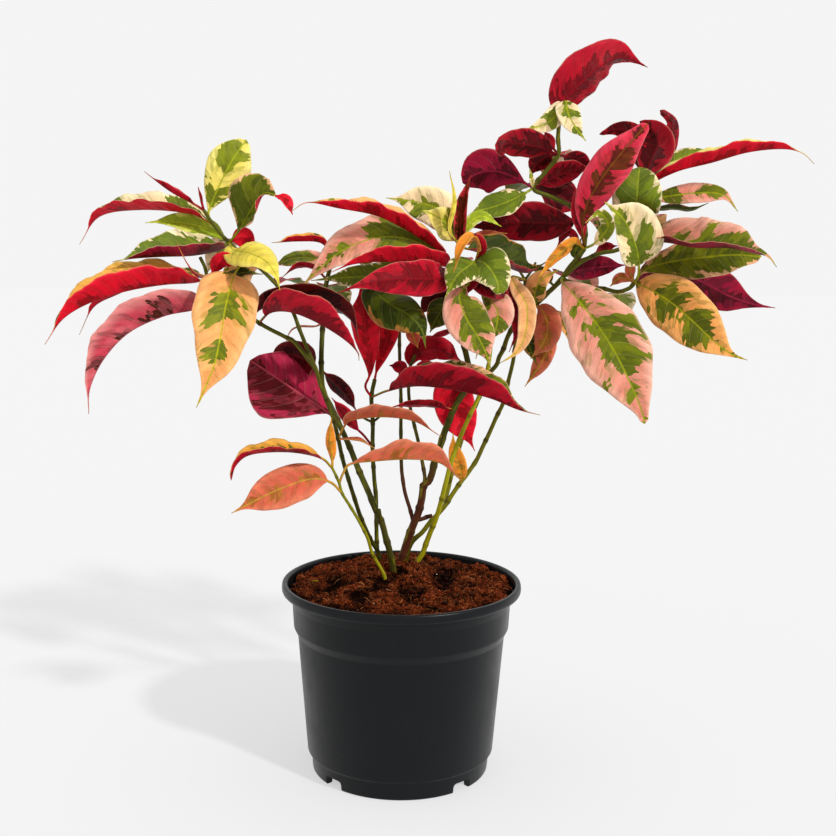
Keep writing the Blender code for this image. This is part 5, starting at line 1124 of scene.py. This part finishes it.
rightLeaves = (
    leaf("orangeGreenBig", "orangeGreen", 38, 5, 5, (158.3, 350, 6), (170, 345, -6), (185, 336, -18),
         (200, 323.5, -30), (214, 311, -38), (227, 301.5, -43), (239, 297, -45), stalk=2, lean=-0.25),
    leaf("pinkGreenFront", "pinkGreen", 49, 5, 0, (109, 353, 19), (108.5, 350, 6), (117, 341, -8),
         (132, 323, -24), (147, 301, -38), (160, 276, -47), (167, 260, -52), (169, 251.5, -54),
         stalk=14, widest=0.52, tip=0.12, lean=-0.35),
    leaf("darkCrimsonRight", "greenPeach", 37, 8, 170, (158.3, 350, 6), (172, 356, 22), (188, 357, 34),
         (205, 351, 42), (225, 341, 48), (243, 335.5, 52), (256.5, 333.5, 54), under="wine"),
    leaf("greenPinkEdge", "greenPeach", 31, 5, 20, (158.3, 350, 6), (166, 359, 8), (184, 364.5, 4),
         (205, 367.5, -2), (226, 369.5, -8), (245, 368.5, -12), widest=0.56, tip=0.4),
    leaf("pinkCreamBig", "pinkGreen", 42, 42, (57, 57, 60), (156, 378, 8), (167, 378.5, 4),
         (182, 377.5, -6), (200, 374.5, -18), (222, 374.5, -26), (240, 371, -30), (250, 368.5, -32),
         (256, 361.5, -32), under="wine"),
    leaf("creamGreenFront", "creamGreen", 42, 28, 28, (158.3, 350, 6), (161, 356, -2), (160, 369, -10),
         (155.5, 382, -16), (148, 394.5, -20), (136, 404.5, -22), stalk=18, lean=0.6),
    leaf("greenCreamRound", "greenCream", 33, 5, -5, (162, 392, 10), (158, 396, -4), (158, 408, -14),
         (158.5, 419, -12), (159, 428, 0), stalk=1, widest=0.48, tip=0.45),
    leaf("creamCurl", "creamGreen", 11, 10, 20, (123, 372.7, 10), (131, 377, -12), (139, 388, -28),
         (133, 397, -34), (123, 390, -36), stalk=20),
    leaf("pinkGreenRight", "pinkGreen", 15, 5, 20, (164, 406, 12), (178, 408.5, 6), (198, 411, 2),
         (217, 410, -1), (227.5, 399, -3)),
    leaf("darkOliveRight", "darkGreen", 9, 10, 120, (163, 398, 11), (180, 401, 16), (195, 400, 19),
         (207, 404.5, 20), under="darkGreen"),
    leaf("longRedRight", "yellowGreen", 20, 60, 85, (164, 406, 12), (168, 417, 4), (185, 426, -4),
         (208, 432, -12), (232, 439, -18), (255, 441.5, -22), (269, 439, -23), (278, 431.5, -23),
         under="brightRed", stalk=12),
    leaf("greenOverRed", "greenCream", 15, 5, 40, (164, 406, 12), (171, 424, 20), (188, 435, 24),
         (212, 441, 26), stalk=16),
    leaf("darkTopMiddle", "greenPeach", 25, 8, 165, (162, 420, 14), (167, 433, 18), (171, 444, 22),
         (167, 453, 24), (158, 458.5, 24), under="darkCrimson", stalk=4, tip=0.2),
    leaf("darkTopRight", "greenPeach", 15, 8, 160, (162, 420, 14), (173, 434, 34), (179.5, 448, 44),
         (180, 458.5, 47), (171.5, 466, 47), under="darkCrimson", stalk=8, tip=0.35),
    leaf("darkTopLeft", "greenPeach", 18, 8, 165, (162, 420, 14), (161, 436, 26), (154, 449, 34),
         (143, 453, 38), (131, 449.5, 40), under="darkCrimson", tip=0.15),
    leaf("pinkVeined", "pinkRed", 27, 8, 10, (123, 372.7, 10), (121.5, 386, 0), (124, 402, -8),
         (133, 419, -14), (147, 438, -16), (163.5, 457, -14), stalk=16, widest=0.52, tip=0.3),
    leaf("crimsonLeftOfPink", "pinkRed", 11, 10, 170, (123, 372.7, 10), (121, 386, 4), (118.5, 400, 2),
         (121, 412, 1), (127, 425, 0), stalk=8),
    leaf("darkCrimsonUpper", "greenPeach", 20, 8, 150, (87, 413, 24), (100, 420, 24), (113, 425, 26),
         (127, 428, 28), under="darkCrimson"),
    leaf("darkCrimsonLower", "darkCrimson", 28, 5, 20, (87, 413, 24), (95, 412, 36), (108, 407, 44),
         (122, 396, 48), under="darkCrimson"),
    leaf("crimsonWide", "greenPeach", 30, 6, 160, (121, 394, 14), (110, 390, 18), (95, 390, 24),
         (78, 390, 28), (58, 388, 31), (41, 386, 32), under="darkCrimson"),
    leaf("greenRedEdge", "greenCream", 24, 5, 40, (87, 413, 24), (75, 406, 22), (60, 400, 20),
         (48, 397, 18), (43, 394, 17)),
    leaf("crimsonTopLeft", "greenPeach", 29, 8, 170, (87, 413, 24), (77, 419, 26), (63, 424, 28),
         (50, 423, 30), (39, 416, 31), under="wine", widest=0.6, tip=0.8),
    leaf("darkOval", "darkCrimson", 16, 8, 160, (103.5, 435.5, 16), (97, 435, 22), (89, 429, 28),
         (84.5, 421, 30), under="darkCrimson"),
    leaf("paleStrip", "creamGreen", 4, 5, 20, (87, 413, 24), (86, 419, 18), (84.3, 426, 16),
         under="creamGreen", stalk=2),
    leaf("darkRightOfNode", "darkCrimson", 14, 8, 150, (103.5, 435.5, 16), (112, 434, 24),
         (120, 430, 30), (128, 423, 34), under="darkCrimson"),
    leaf("darkRedLeft", "creamGreen", 22, 15, 160, (103.5, 435.5, 16), (92, 440, 8), (78, 442.5, 0),
         (66, 442, -8), (65, 434, -10), under="darkCrimson", tip=0.35),
    leaf("mauveSmall", "pinkRed", 9, 5, 160, (103.5, 435.5, 16), (98, 443, 22), (93.5, 452, 26)),
    leaf("creamTopRight", "creamGreen", 17, 5, 15, (107.5, 472, 10), (109.5, 463, 0), (114, 455, -6),
         (122, 445, -10), stalk=1, widest=0.32),
    leaf("creamTopLeft", "creamGreen", 15, 5, 10, (107.5, 472, 10), (102, 462.5, 8), (93.5, 455.5, 6),
         (79.5, 452, 4), stalk=1, widest=0.32),
    leaf("topCrimson", "greenPeach", 37, 28, 152, (104, 460, 12), (108, 471, 9), (113.5, 479, 7),
         (121.5, 487, 6), (131, 495, 8), (141, 500, 12), (150.5, 499, 18), (162, 494, 25), stalk=2,
         widest=0.34),
    leaf("purpleBehind", "pinkGreen", 18, 8, 160, (109, 353, 19), (120, 358, 28), (136, 360.5, 36),
         (153, 362, 42), under="wine"),
    leaf("crimsonBehindRight", "coral", 8, 5, 160, (127.5, 367, 12), (136, 373, 16), (146, 375, 18)),
    leaf("darkGreenSmall", "darkGreen", 8, 5, 20, (117.4, 364.7, 14), (117, 371, 18), (121, 380, 22),
         under="maroon", stalk=2),
    leaf("orangeDrop", "orange", 10, 10, 150, (123, 372.7, 10), (117, 377, -2), (110, 372.5, -10),
         (101, 364, -15), (91.5, 352, -18), under="orange", stalk=8),
    leaf("redBrownDrop", "coral", 8, 10, 150, (123, 372.7, 10), (116, 381, 20), (110, 383, 26),
         (104, 373, 28), stalk=8),
    leaf("peachUpright", "peach", 17, 5, 20, (90.5, 333.7, 27), (90, 342, 16), (94, 351, 10),
         (106, 358, 6), stalk=4),
    leaf("peachCurve", "palePeach", 13, 10, 0, (83, 351, 30), (74, 353, 14), (77, 346, 4),
         (84, 335, -1), (85, 323, -3), (83, 310, -4), (77, 300, -6), (66.5, 293, -8), stalk=20),
    leaf("crimsonBesidePeach", "crimson", 12, 5, 165, (83, 351, 30), (77, 350, 23), (71.5, 344, 12),
         (75, 336, 4), (77.5, 325, 1), (77.3, 313, 0), (73, 301, -1), stalk=12, widest=0.25),
    leaf("coralHanging", "coral", 21, 5, 10, (90.5, 333.7, 27), (96, 329.5, 20), (99.5, 319, 14),
         (97, 308, 10), (88, 296.5, 8), under="coral", stalk=3),
    leaf("orangeBehindYellow", "orange", 12, 10, 0, (40.4, 208, 35), (41.5, 214, 30), (38, 225, 26),
         (35.5, 235, 23), (35, 244, 22), under="coral", stalk=4),
    leaf("coralTail", "coral", 13, 8, 170, (90.5, 333.7, 27), (99, 324, 23), (101, 308, 18),
         (97, 297, 14), (92, 288, 12), (84.5, 277, 11), under="coral", stalk=20),
    leaf("oliveBehindCoral", "darkGreen", 12, 5, 20, (90.5, 333.7, 27), (87, 322, 18), (86, 309, 14),
         (89, 300, 12), (93, 291.5, 11), under="maroon", stalk=8),
    leaf("smallRedTip", "peach", 14, 15, 30, (90.5, 333.7, 27), (103, 325, 34), (112, 319, 37),
         (114.8, 306.5, 38)),
    leaf("brownUpright", "coral", 8, 10, 20, (158.3, 350, 6), (155, 358, 2), (156, 369, 0), stalk=3),
    leaf("brownLeft", "coral", 8, 10, 20, (158.3, 350, 6), (149, 353, 8), (141.5, 347, 10), stalk=3),
    leaf("darkGreenBehind", "darkGreen", 12, 5, 20, (103.4, 346.5, 22), (98, 352, 31), (93, 357, 37),
         (87, 358, 40), under="maroon"),
    backLeaf("backOfFork", "pinkGreen", 30, (109, 353, 19), (114, 355, 46), (124, 348, 72),
             (132, 332, 86)),
    backLeaf("backOfLowerHead", "creamGreen", 28, (147, 343.5, 12), (148, 338, 34), (144, 323, 54),
             (138, 303, 62)),
    backLeaf("backOfSideHead", "peach", 30, (162, 392, 10), (163, 394, 36), (168, 388, 62),
             (176, 374, 78)),
    backLeaf("backOfSideTop", "greenCream", 26, (162, 420, 14), (158, 421, 42), (150, 416, 68),
             (140, 400, 84)),
    backLeaf("backOfTopNode", "creamGreen", 24, (103.5, 435.5, 16), (102, 436, 40), (98, 428, 62),
             (96, 412, 72)),
    backLeaf("backOfBend", "greenPeach", 26, (87, 413, 24), (83, 416, 50), (76, 412, 76),
             (66, 400, 92)),
    backLeaf("backOfUpperHead", "pinkGreen", 22, (121, 394, 14), (127, 396, 42), (131, 392, 64),
             (134, 380, 78)),
)



# a point of the front view put where it stands
def seen(point):
    across, up, back = point
    scale = (eye["distance"] + back) / eye["distance"]
    return Vector((across * scale, back, eye["height"] + (up - eye["height"]) * scale))


curveFineness = 16    # straight bits between two given points


# even steps on a smooth curve through the points: places, directions and length
def curveThrough(points, count):
    ends = [2 * points[0] - points[1]] + list(points) + [2 * points[-1] - points[-2]]
    fine = []
    for a, b, c, d in zip(ends, ends[1:], ends[2:], ends[3:]):
        for step in range(curveFineness):
            t = step / curveFineness
            fine.append(0.5 * (2 * b + (c - a) * t + (2 * a - 5 * b + 4 * c - d) * t ** 2
                               + (3 * b - a - 3 * c + d) * t ** 3))
    fine.append(points[-1])
    fine = np.array(fine)
    gone = np.concatenate([[0], np.cumsum(np.linalg.norm(np.diff(fine, axis=0), axis=1))])
    wanted = np.linspace(0, gone[-1], count + 1)
    places = np.stack([np.interp(wanted, gone, fine[:, k]) for k in range(3)], 1)
    ways = np.gradient(places, axis=0)
    ways /= np.linalg.norm(ways, axis=1)[:, None]
    return places, ways, gone[-1]


# share of the full width at a share of the blade's length
def bladeWidth(share, widest, tip):
    power = math.log(0.5) / math.log(widest)
    body = max(0.0, math.sin(math.pi * share ** power)) ** 0.85
    return body * (1 - share ** 7) + tip * share ** 4


# how the face has turned at a share of the blade's length
def turned(face, share):
    base, middle, tip = face if isinstance(face, tuple) else (face,) * 3
    return base + (middle - base) * share * 2 if share < 0.5 else middle + (tip - middle) * (share * 2 - 1)


# which way the upper face looks, and the way across the blade
def bladeFrame(point, way, face, heading):
    if face is upward:
        across = way.cross(Vector((0, 0, 1))).normalized()
        return across.cross(way), across
    sight = (Vector((0, -eye["distance"], eye["height"])) - point).normalized()
    over = way.cross(sight).normalized() * heading
    towards = (over.cross(way) * heading).normalized()
    angle = math.radians(face)
    normal = math.cos(angle) * towards + math.sin(angle) * over
    return normal, normal.cross(way).normalized()


def smooth(value, low, high):
    t = np.clip((value - low) / (high - low), 0, 1)
    return t * t * (3 - 2 * t)


# points, faces and attributes of one piece, gathered from its leaves and stems
class Growth:
    def __init__(self):
        self.verts, self.faces, self.slots = [], [], []
        self.values = {key: [] for key in (
            "bladePlace", "bladeShare", "bladeHalf", "blotchReach", "blotchUneven", "veinShow", "groundTint",
            "marginTint", "blotchTint", "veinTint")}

    def take(self, grid, place, share, half, colours, reach, uneven, veinShow=0.0):
        start = len(self.verts)
        count = grid.shape[0] * grid.shape[1]
        self.verts.extend(grid.reshape(-1, 3).tolist())
        self.values["bladePlace"].append(place.reshape(-1, 3))
        self.values["bladeShare"].append(share.ravel())
        self.values["bladeHalf"].append(np.broadcast_to(half, grid.shape[:2]).ravel())
        self.values["blotchReach"].append(np.broadcast_to(reach, grid.shape[:2]).ravel())
        self.values["blotchUneven"].append(np.full(count, uneven))
        self.values["veinShow"].append(np.full(count, veinShow))
        for key, colour in zip(("groundTint", "marginTint", "blotchTint", "veinTint"), colours):
            self.values[key].append(np.broadcast_to(colour, (count, 4)))
        return start + np.arange(count).reshape(grid.shape[:2])

    def join(self, a, b, c, d, slot):
        self.faces.append((int(a), int(b), int(c), int(d)))
        self.slots.append(slot)

    def made(self, name, materials):
        made = solid(name, self.verts, self.faces, materials)
        made.data.polygons.foreach_set("material_index", self.slots)
        for key in self.values:
            kind, field = "FLOAT", "value"
            if key.endswith("Tint"):
                kind, field = "FLOAT_COLOR", "color"
            if key == "bladePlace":
                kind, field = "FLOAT_VECTOR", "vector"
            stored = made.data.attributes.new(key, kind, "POINT")
            stored.data.foreach_set(field, np.concatenate(self.values[key]).astype(np.float32).ravel())
        return made


# how far forward a side vein has run at this distance from the midrib
def veinShift(offset):
    return blade["veinSlant"] * np.abs(offset) + blade["veinCurve"] * offset ** 2


# half the width of the blade or of its stalk, gone millimetres along the blade
def halfBladeWidth(plan, share, along, gone, length, phase):
    least = blade["narrowest"]
    narrow = least + (blade["stalkHalf"] - least) * math.exp(-max(0.0, gone) / blade["taper"])
    half = max(plan["width"] / 2 * bladeWidth(along, plan["widest"], plan["tip"]), narrow)
    if gone < 0:
        half = blade["stalkHalf"]
    half *= 1 + blade["ripple"] * math.sin(gone / blade["rippleSize"] + phase) * min(1, half / 8)
    if plan["tip"] == 0:
        drawnOut = 1 - 0.5 * float(smooth(along, *blade["drawnOutTip"]))
        half = max(half * drawnOut, min(half, blade["tipHalf"]))
    blunt = max(0.02, blade["blunting"] * plan["tip"] * plan["width"] / length)    # rounds a blunt end
    if share > 1 - blunt:
        half = max(0.25, half * math.sqrt(1 - min(1.0, (share - 1 + blunt) / blunt) ** 2))
    return half


# how far each place across the blade rises from flat: fold, waves, dome, quilting and humps
def bladeRise(reach, half, fold, gone, waves, number):
    u = reach / half
    soft = blade["softFold"]
    rise = (np.sqrt(u * u + soft * soft) - soft) / (math.sqrt(1 + soft * soft) - soft)
    big = min(1.0, half / 10)
    lift = half * math.sin(fold) * rise
    leftPhase, rightPhase, waveLength = waves
    wave = np.where(u < 0, math.sin(math.tau * gone / waveLength + leftPhase),
                    math.sin(math.tau * gone / waveLength * 1.1 + rightPhase))
    lift = lift + blade["marginWave"] * big * wave * np.abs(u) ** 2.2
    lift = lift + blade["swell"] * half * big * 4 * np.abs(u) * (1 - np.abs(u))
    veined = (gone - veinShift(reach)) / blade["veinStep"]
    lift = lift + blade["quilting"] * big * np.cos(math.tau * veined) * -1 * smooth(np.abs(reach), 0.5, 3.0)
    humpLength, humpWidth = blade["humpSize"]
    humps = [noise.noise(Vector((gone / humpLength, value / humpWidth, number))) for value in reach]
    return lift + blade["pucker"] * big * np.array(humps) * smooth(np.abs(reach), 0.5, 4.0)


# faces over and under the blade, and round its margin and ends
def joinBlade(growth, over, below):
    rows, columns = over.shape
    for row in range(rows - 1):
        after = row + 1
        for column in range(columns - 1):
            other = column + 1
            growth.join(over[row, column], over[row, other], over[after, other], over[after, column], 0)
            growth.join(below[row, column], below[after, column], below[after, other], below[row, other], 0)
        growth.join(over[row, 0], over[after, 0], below[after, 0], below[row, 0], 0)
        growth.join(over[row, -1], below[row, -1], below[after, -1], over[after, -1], 0)
    for column in range(columns - 1):
        other = column + 1
        growth.join(over[0, column], below[0, column], below[0, other], over[0, other], 0)
        growth.join(over[-1, column], over[-1, other], below[-1, other], below[-1, column], 0)


# a leaf with its stalk, laid row by row along its midrib
def growLeaf(plan, growth):
    draw = random.Random(plan["name"])
    number = draw.uniform(0, 90)
    heading = 1 if plan["points"][-1][0] < plan["points"][0][0] else -1
    points = [seen(point) for point in plan["points"]]
    steps = blade["curveSteps"]
    fine, ways, length = curveThrough(points, steps)
    bare = plan["stalk"] / length
    stalkRows = max(2, round(plan["stalk"] / blade["stalkStep"]))
    bladeRows = max(blade["leastRows"], round((length - plan["stalk"]) / blade["rowStep"]))
    shares = np.concatenate([np.linspace(0, bare, stalkRows, endpoint=False),
                             bare + (1 - bare) * np.linspace(0, 1, bladeRows + 1)])
    side = (blade["columns"] - 1) // 2
    wavePhase = [draw.uniform(0, math.tau) for _ in range(4)]    # for both margins, the ripple and one spare
    waveLength = draw.uniform(*blade["wavePitch"])
    middle = np.zeros((len(shares), blade["columns"], 3))
    rimSide = np.zeros(middle.shape[:2])
    offsets = np.zeros(middle.shape[:2])
    halves = np.zeros(len(shares))
    for row, share in enumerate(shares):
        at = share * steps
        low = min(int(at), steps - 1)
        point = Vector(fine[low] + (fine[low + 1] - fine[low]) * (at - low))
        way = Vector(ways[low] + (ways[low + 1] - ways[low]) * (at - low)).normalized()
        along = max(0.0, (share - bare) / (1 - bare))
        gone = (share - bare) * length
        half = halfBladeWidth(plan, share, along, gone, length, wavePhase[2])
        halves[row] = half
        fold = math.radians(plan["fold"]) * min(1.0, (half / blade["fullFoldFrom"]) ** 2)
        face = upward if plan["face"] is upward else turned(plan["face"], along)
        normal, across = bladeFrame(point, way, face, heading)
        rib = min(blade["ribHalf"], half * 0.15)
        reach = np.concatenate([[0, rib], rib + (half - rib) * np.arange(1, side) / (side - 1)])
        reach = np.concatenate([-reach[:0:-1], reach])
        lift = bladeRise(reach, half, fold, gone, (wavePhase[0], wavePhase[1], waveLength), number)
        flat = reach * math.cos(fold)
        middle[row] = np.array(point) + flat[:, None] * np.array(across) + lift[:, None] * np.array(normal)
        offsets[row] = reach
        rimSide[row] = np.abs(reach / half)
    down, over = np.gradient(middle, axis=0), np.gradient(middle, axis=1)
    normals = np.cross(down, over)
    normals /= np.maximum(np.linalg.norm(normals, axis=2), 1e-9)[..., None]
    gone = ((shares - bare) * length)[:, None]
    left = (1 - np.clip((shares - bare) / (1 - bare), 0, 1))[:, None]
    thick = blade["thickness"] + (blade["rim"] - blade["thickness"]) * rimSide ** 3
    thick = np.minimum(thick, 0.25 + halves[:, None] * 0.3)
    stalk = 0.08 + blade["stalkDepth"] * np.sqrt(np.clip(1 - rimSide ** 2, 0, 1))
    blend = smooth(gone, *blade["stalkToBlade"])
    thick = stalk * (1 - blend) + thick * blend
    crest = left ** 0.6 * np.exp(-(offsets / blade["ribSpread"]) ** 2) * blend    # along the midrib
    ridge, groove = blade["ridge"] * crest, blade["groove"] * crest
    top = middle + normals * (thick / 2 - groove)[..., None]
    bottom = middle - normals * (thick / 2 + ridge)[..., None]
    place = np.stack([offsets, gone - veinShift(offsets), np.full(offsets.shape, number)], 2)
    under = place.copy()
    under[..., 2] += blade["underShift"]
    grids = []
    for grid, spot, coat in ((top, place, plan["over"]), (bottom, under, plan["under"])):
        *colours, reach, uneven = coats[coat]
        reach = reach * (1 + plan["lean"] * heading * np.sign(offsets))
        veinShow = blade["veinShow"] * (blade["redVeins"] if coat in redCoats else 1.0)
        tints = [tint(code) for code in colours]
        grids.append(growth.take(grid, spot, rimSide, halves[:, None], tints, reach, uneven, veinShow))
    joinBlade(growth, *grids)


# a stem or twig, round, with a swelling at each leaf scar; isFoot: it stands in the soil
def growStem(plan, growth, bark, number, isFoot):
    draw = random.Random(number * 7 + 3)
    points = [seen(point) for point in plan["points"]]
    if isFoot:
        first = points[0]
        points.insert(0, Vector((first.x, first.y, (first.z + twig["rootLevel"]) / 2)))
        points.insert(0, Vector((first.x, first.y, twig["rootLevel"])))
    _, _, length = curveThrough(points, 10)
    rows = max(6, round(length / twig["step"]))
    places, ways, length = curveThrough(points, rows)
    nodes, gone = [], draw.uniform(*twig["firstNode"])
    while gone < length:
        nodes.append(gone)
        gone += draw.uniform(*twig["nodeGap"])
    low, high, changeFrom, changeTo = bark
    low, high = np.array(tint(low)), np.array(tint(high))
    side = Vector(ways[0]).orthogonal().normalized()
    grid, place, share, colours, corks = [], [], [], [], []
    corkShare, corkAdded = np.array(twig["corkShare"]), np.array(twig["corkAdded"])
    sides = twig["sides"]
    footRadius, endRadius = plan["radii"]
    steps = [(0, 0.02)] + [(row, 1.0) for row in range(rows + 1)] + [(rows, 0.6), (rows, 0.02)]
    push = [0.0] * (rows + 2) + [0.35, 0.5]
    for (row, narrow), forward in zip(steps, push):
        way = Vector(ways[row])
        side = (side - way * side.dot(way)).normalized()
        up = way.cross(side)
        at = length * row / rows
        radius = footRadius + (endRadius - footRadius) * row / rows
        near = min((abs(at - node) for node in nodes), default=99.0)
        swell = math.exp(-(near / twig["swellLength"]) ** 2)
        radius *= (1 + twig["nodeSwell"] * swell) * narrow
        centre = Vector(places[row]) + way * forward * radius
        mixed = float(smooth(centre.z, changeFrom, changeTo))
        colour = low * (1 - mixed) + high * mixed
        for n in range(sides + 1):
            angle = math.tau * n / sides
            spot = centre + radius * (math.cos(angle) * side + math.sin(angle) * up)
            bumpy = 1 + twig["bumps"] * noise.noise(spot / twig["bumpSize"] + Vector((number, 0, 0)))
            grid.append(tuple(centre + (spot - centre) * bumpy))
            place.append((angle * 2.0, at, number * 3.7))
            share.append(math.exp(-(near / twig["scarLength"]) ** 2))
            colours.append(colour)
            corks.append(colour * corkShare + corkAdded)
    shape = (len(steps), sides + 1)
    taken = growth.take(np.array(grid).reshape(*shape, 3), np.array(place).reshape(*shape, 3),
                        np.array(share).reshape(shape), 1.0, [colours[0]] * 4, 0.0, 0.0)
    growth.values["groundTint"][-1] = np.array(colours)
    growth.values["blotchTint"][-1] = np.array(corks)
    for row in range(shape[0] - 1):
        for n in range(sides):
            growth.join(taken[row, n], taken[row, n + 1], taken[row + 1, n + 1], taken[row + 1, n], 1)


shoots = (
    ("leafy_stem_front_left", "frontLeftShoot", frontLeftStems, frontLeftLeaves),
    ("leafy_stem_left", "leftShoot", leftStems, leftLeaves),
    ("leafy_stem_middle_left", "middleLeftShoot", middleLeftStems, middleLeftLeaves),
    ("leafy_stem_brown", "brownShoot", brownStems, brownLeaves),
    ("leafy_stem_yellow", "yellowShoot", yellowStems, yellowLeaves),
    ("leafy_stem_right", "rightShoot", rightStems, rightLeaves),
)

leafCoat, bark = bladeMaterial(), barkMaterial()
for index, (node, name, stems, leaves) in enumerate(shoots):
    growth = Growth()
    for number, plan in enumerate(stems):
        growStem(plan, growth, barks[node], index * 10 + number, number == 0)
    for plan in leaves:
        growLeaf(plan, growth)
    piece = growth.made(name, [leafCoat, bark])
    facesOut(piece)
    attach(piece, "root")
    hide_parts(node)
    print(name, "made with", len(leaves), "leaves,", len(growth.faces), "faces")
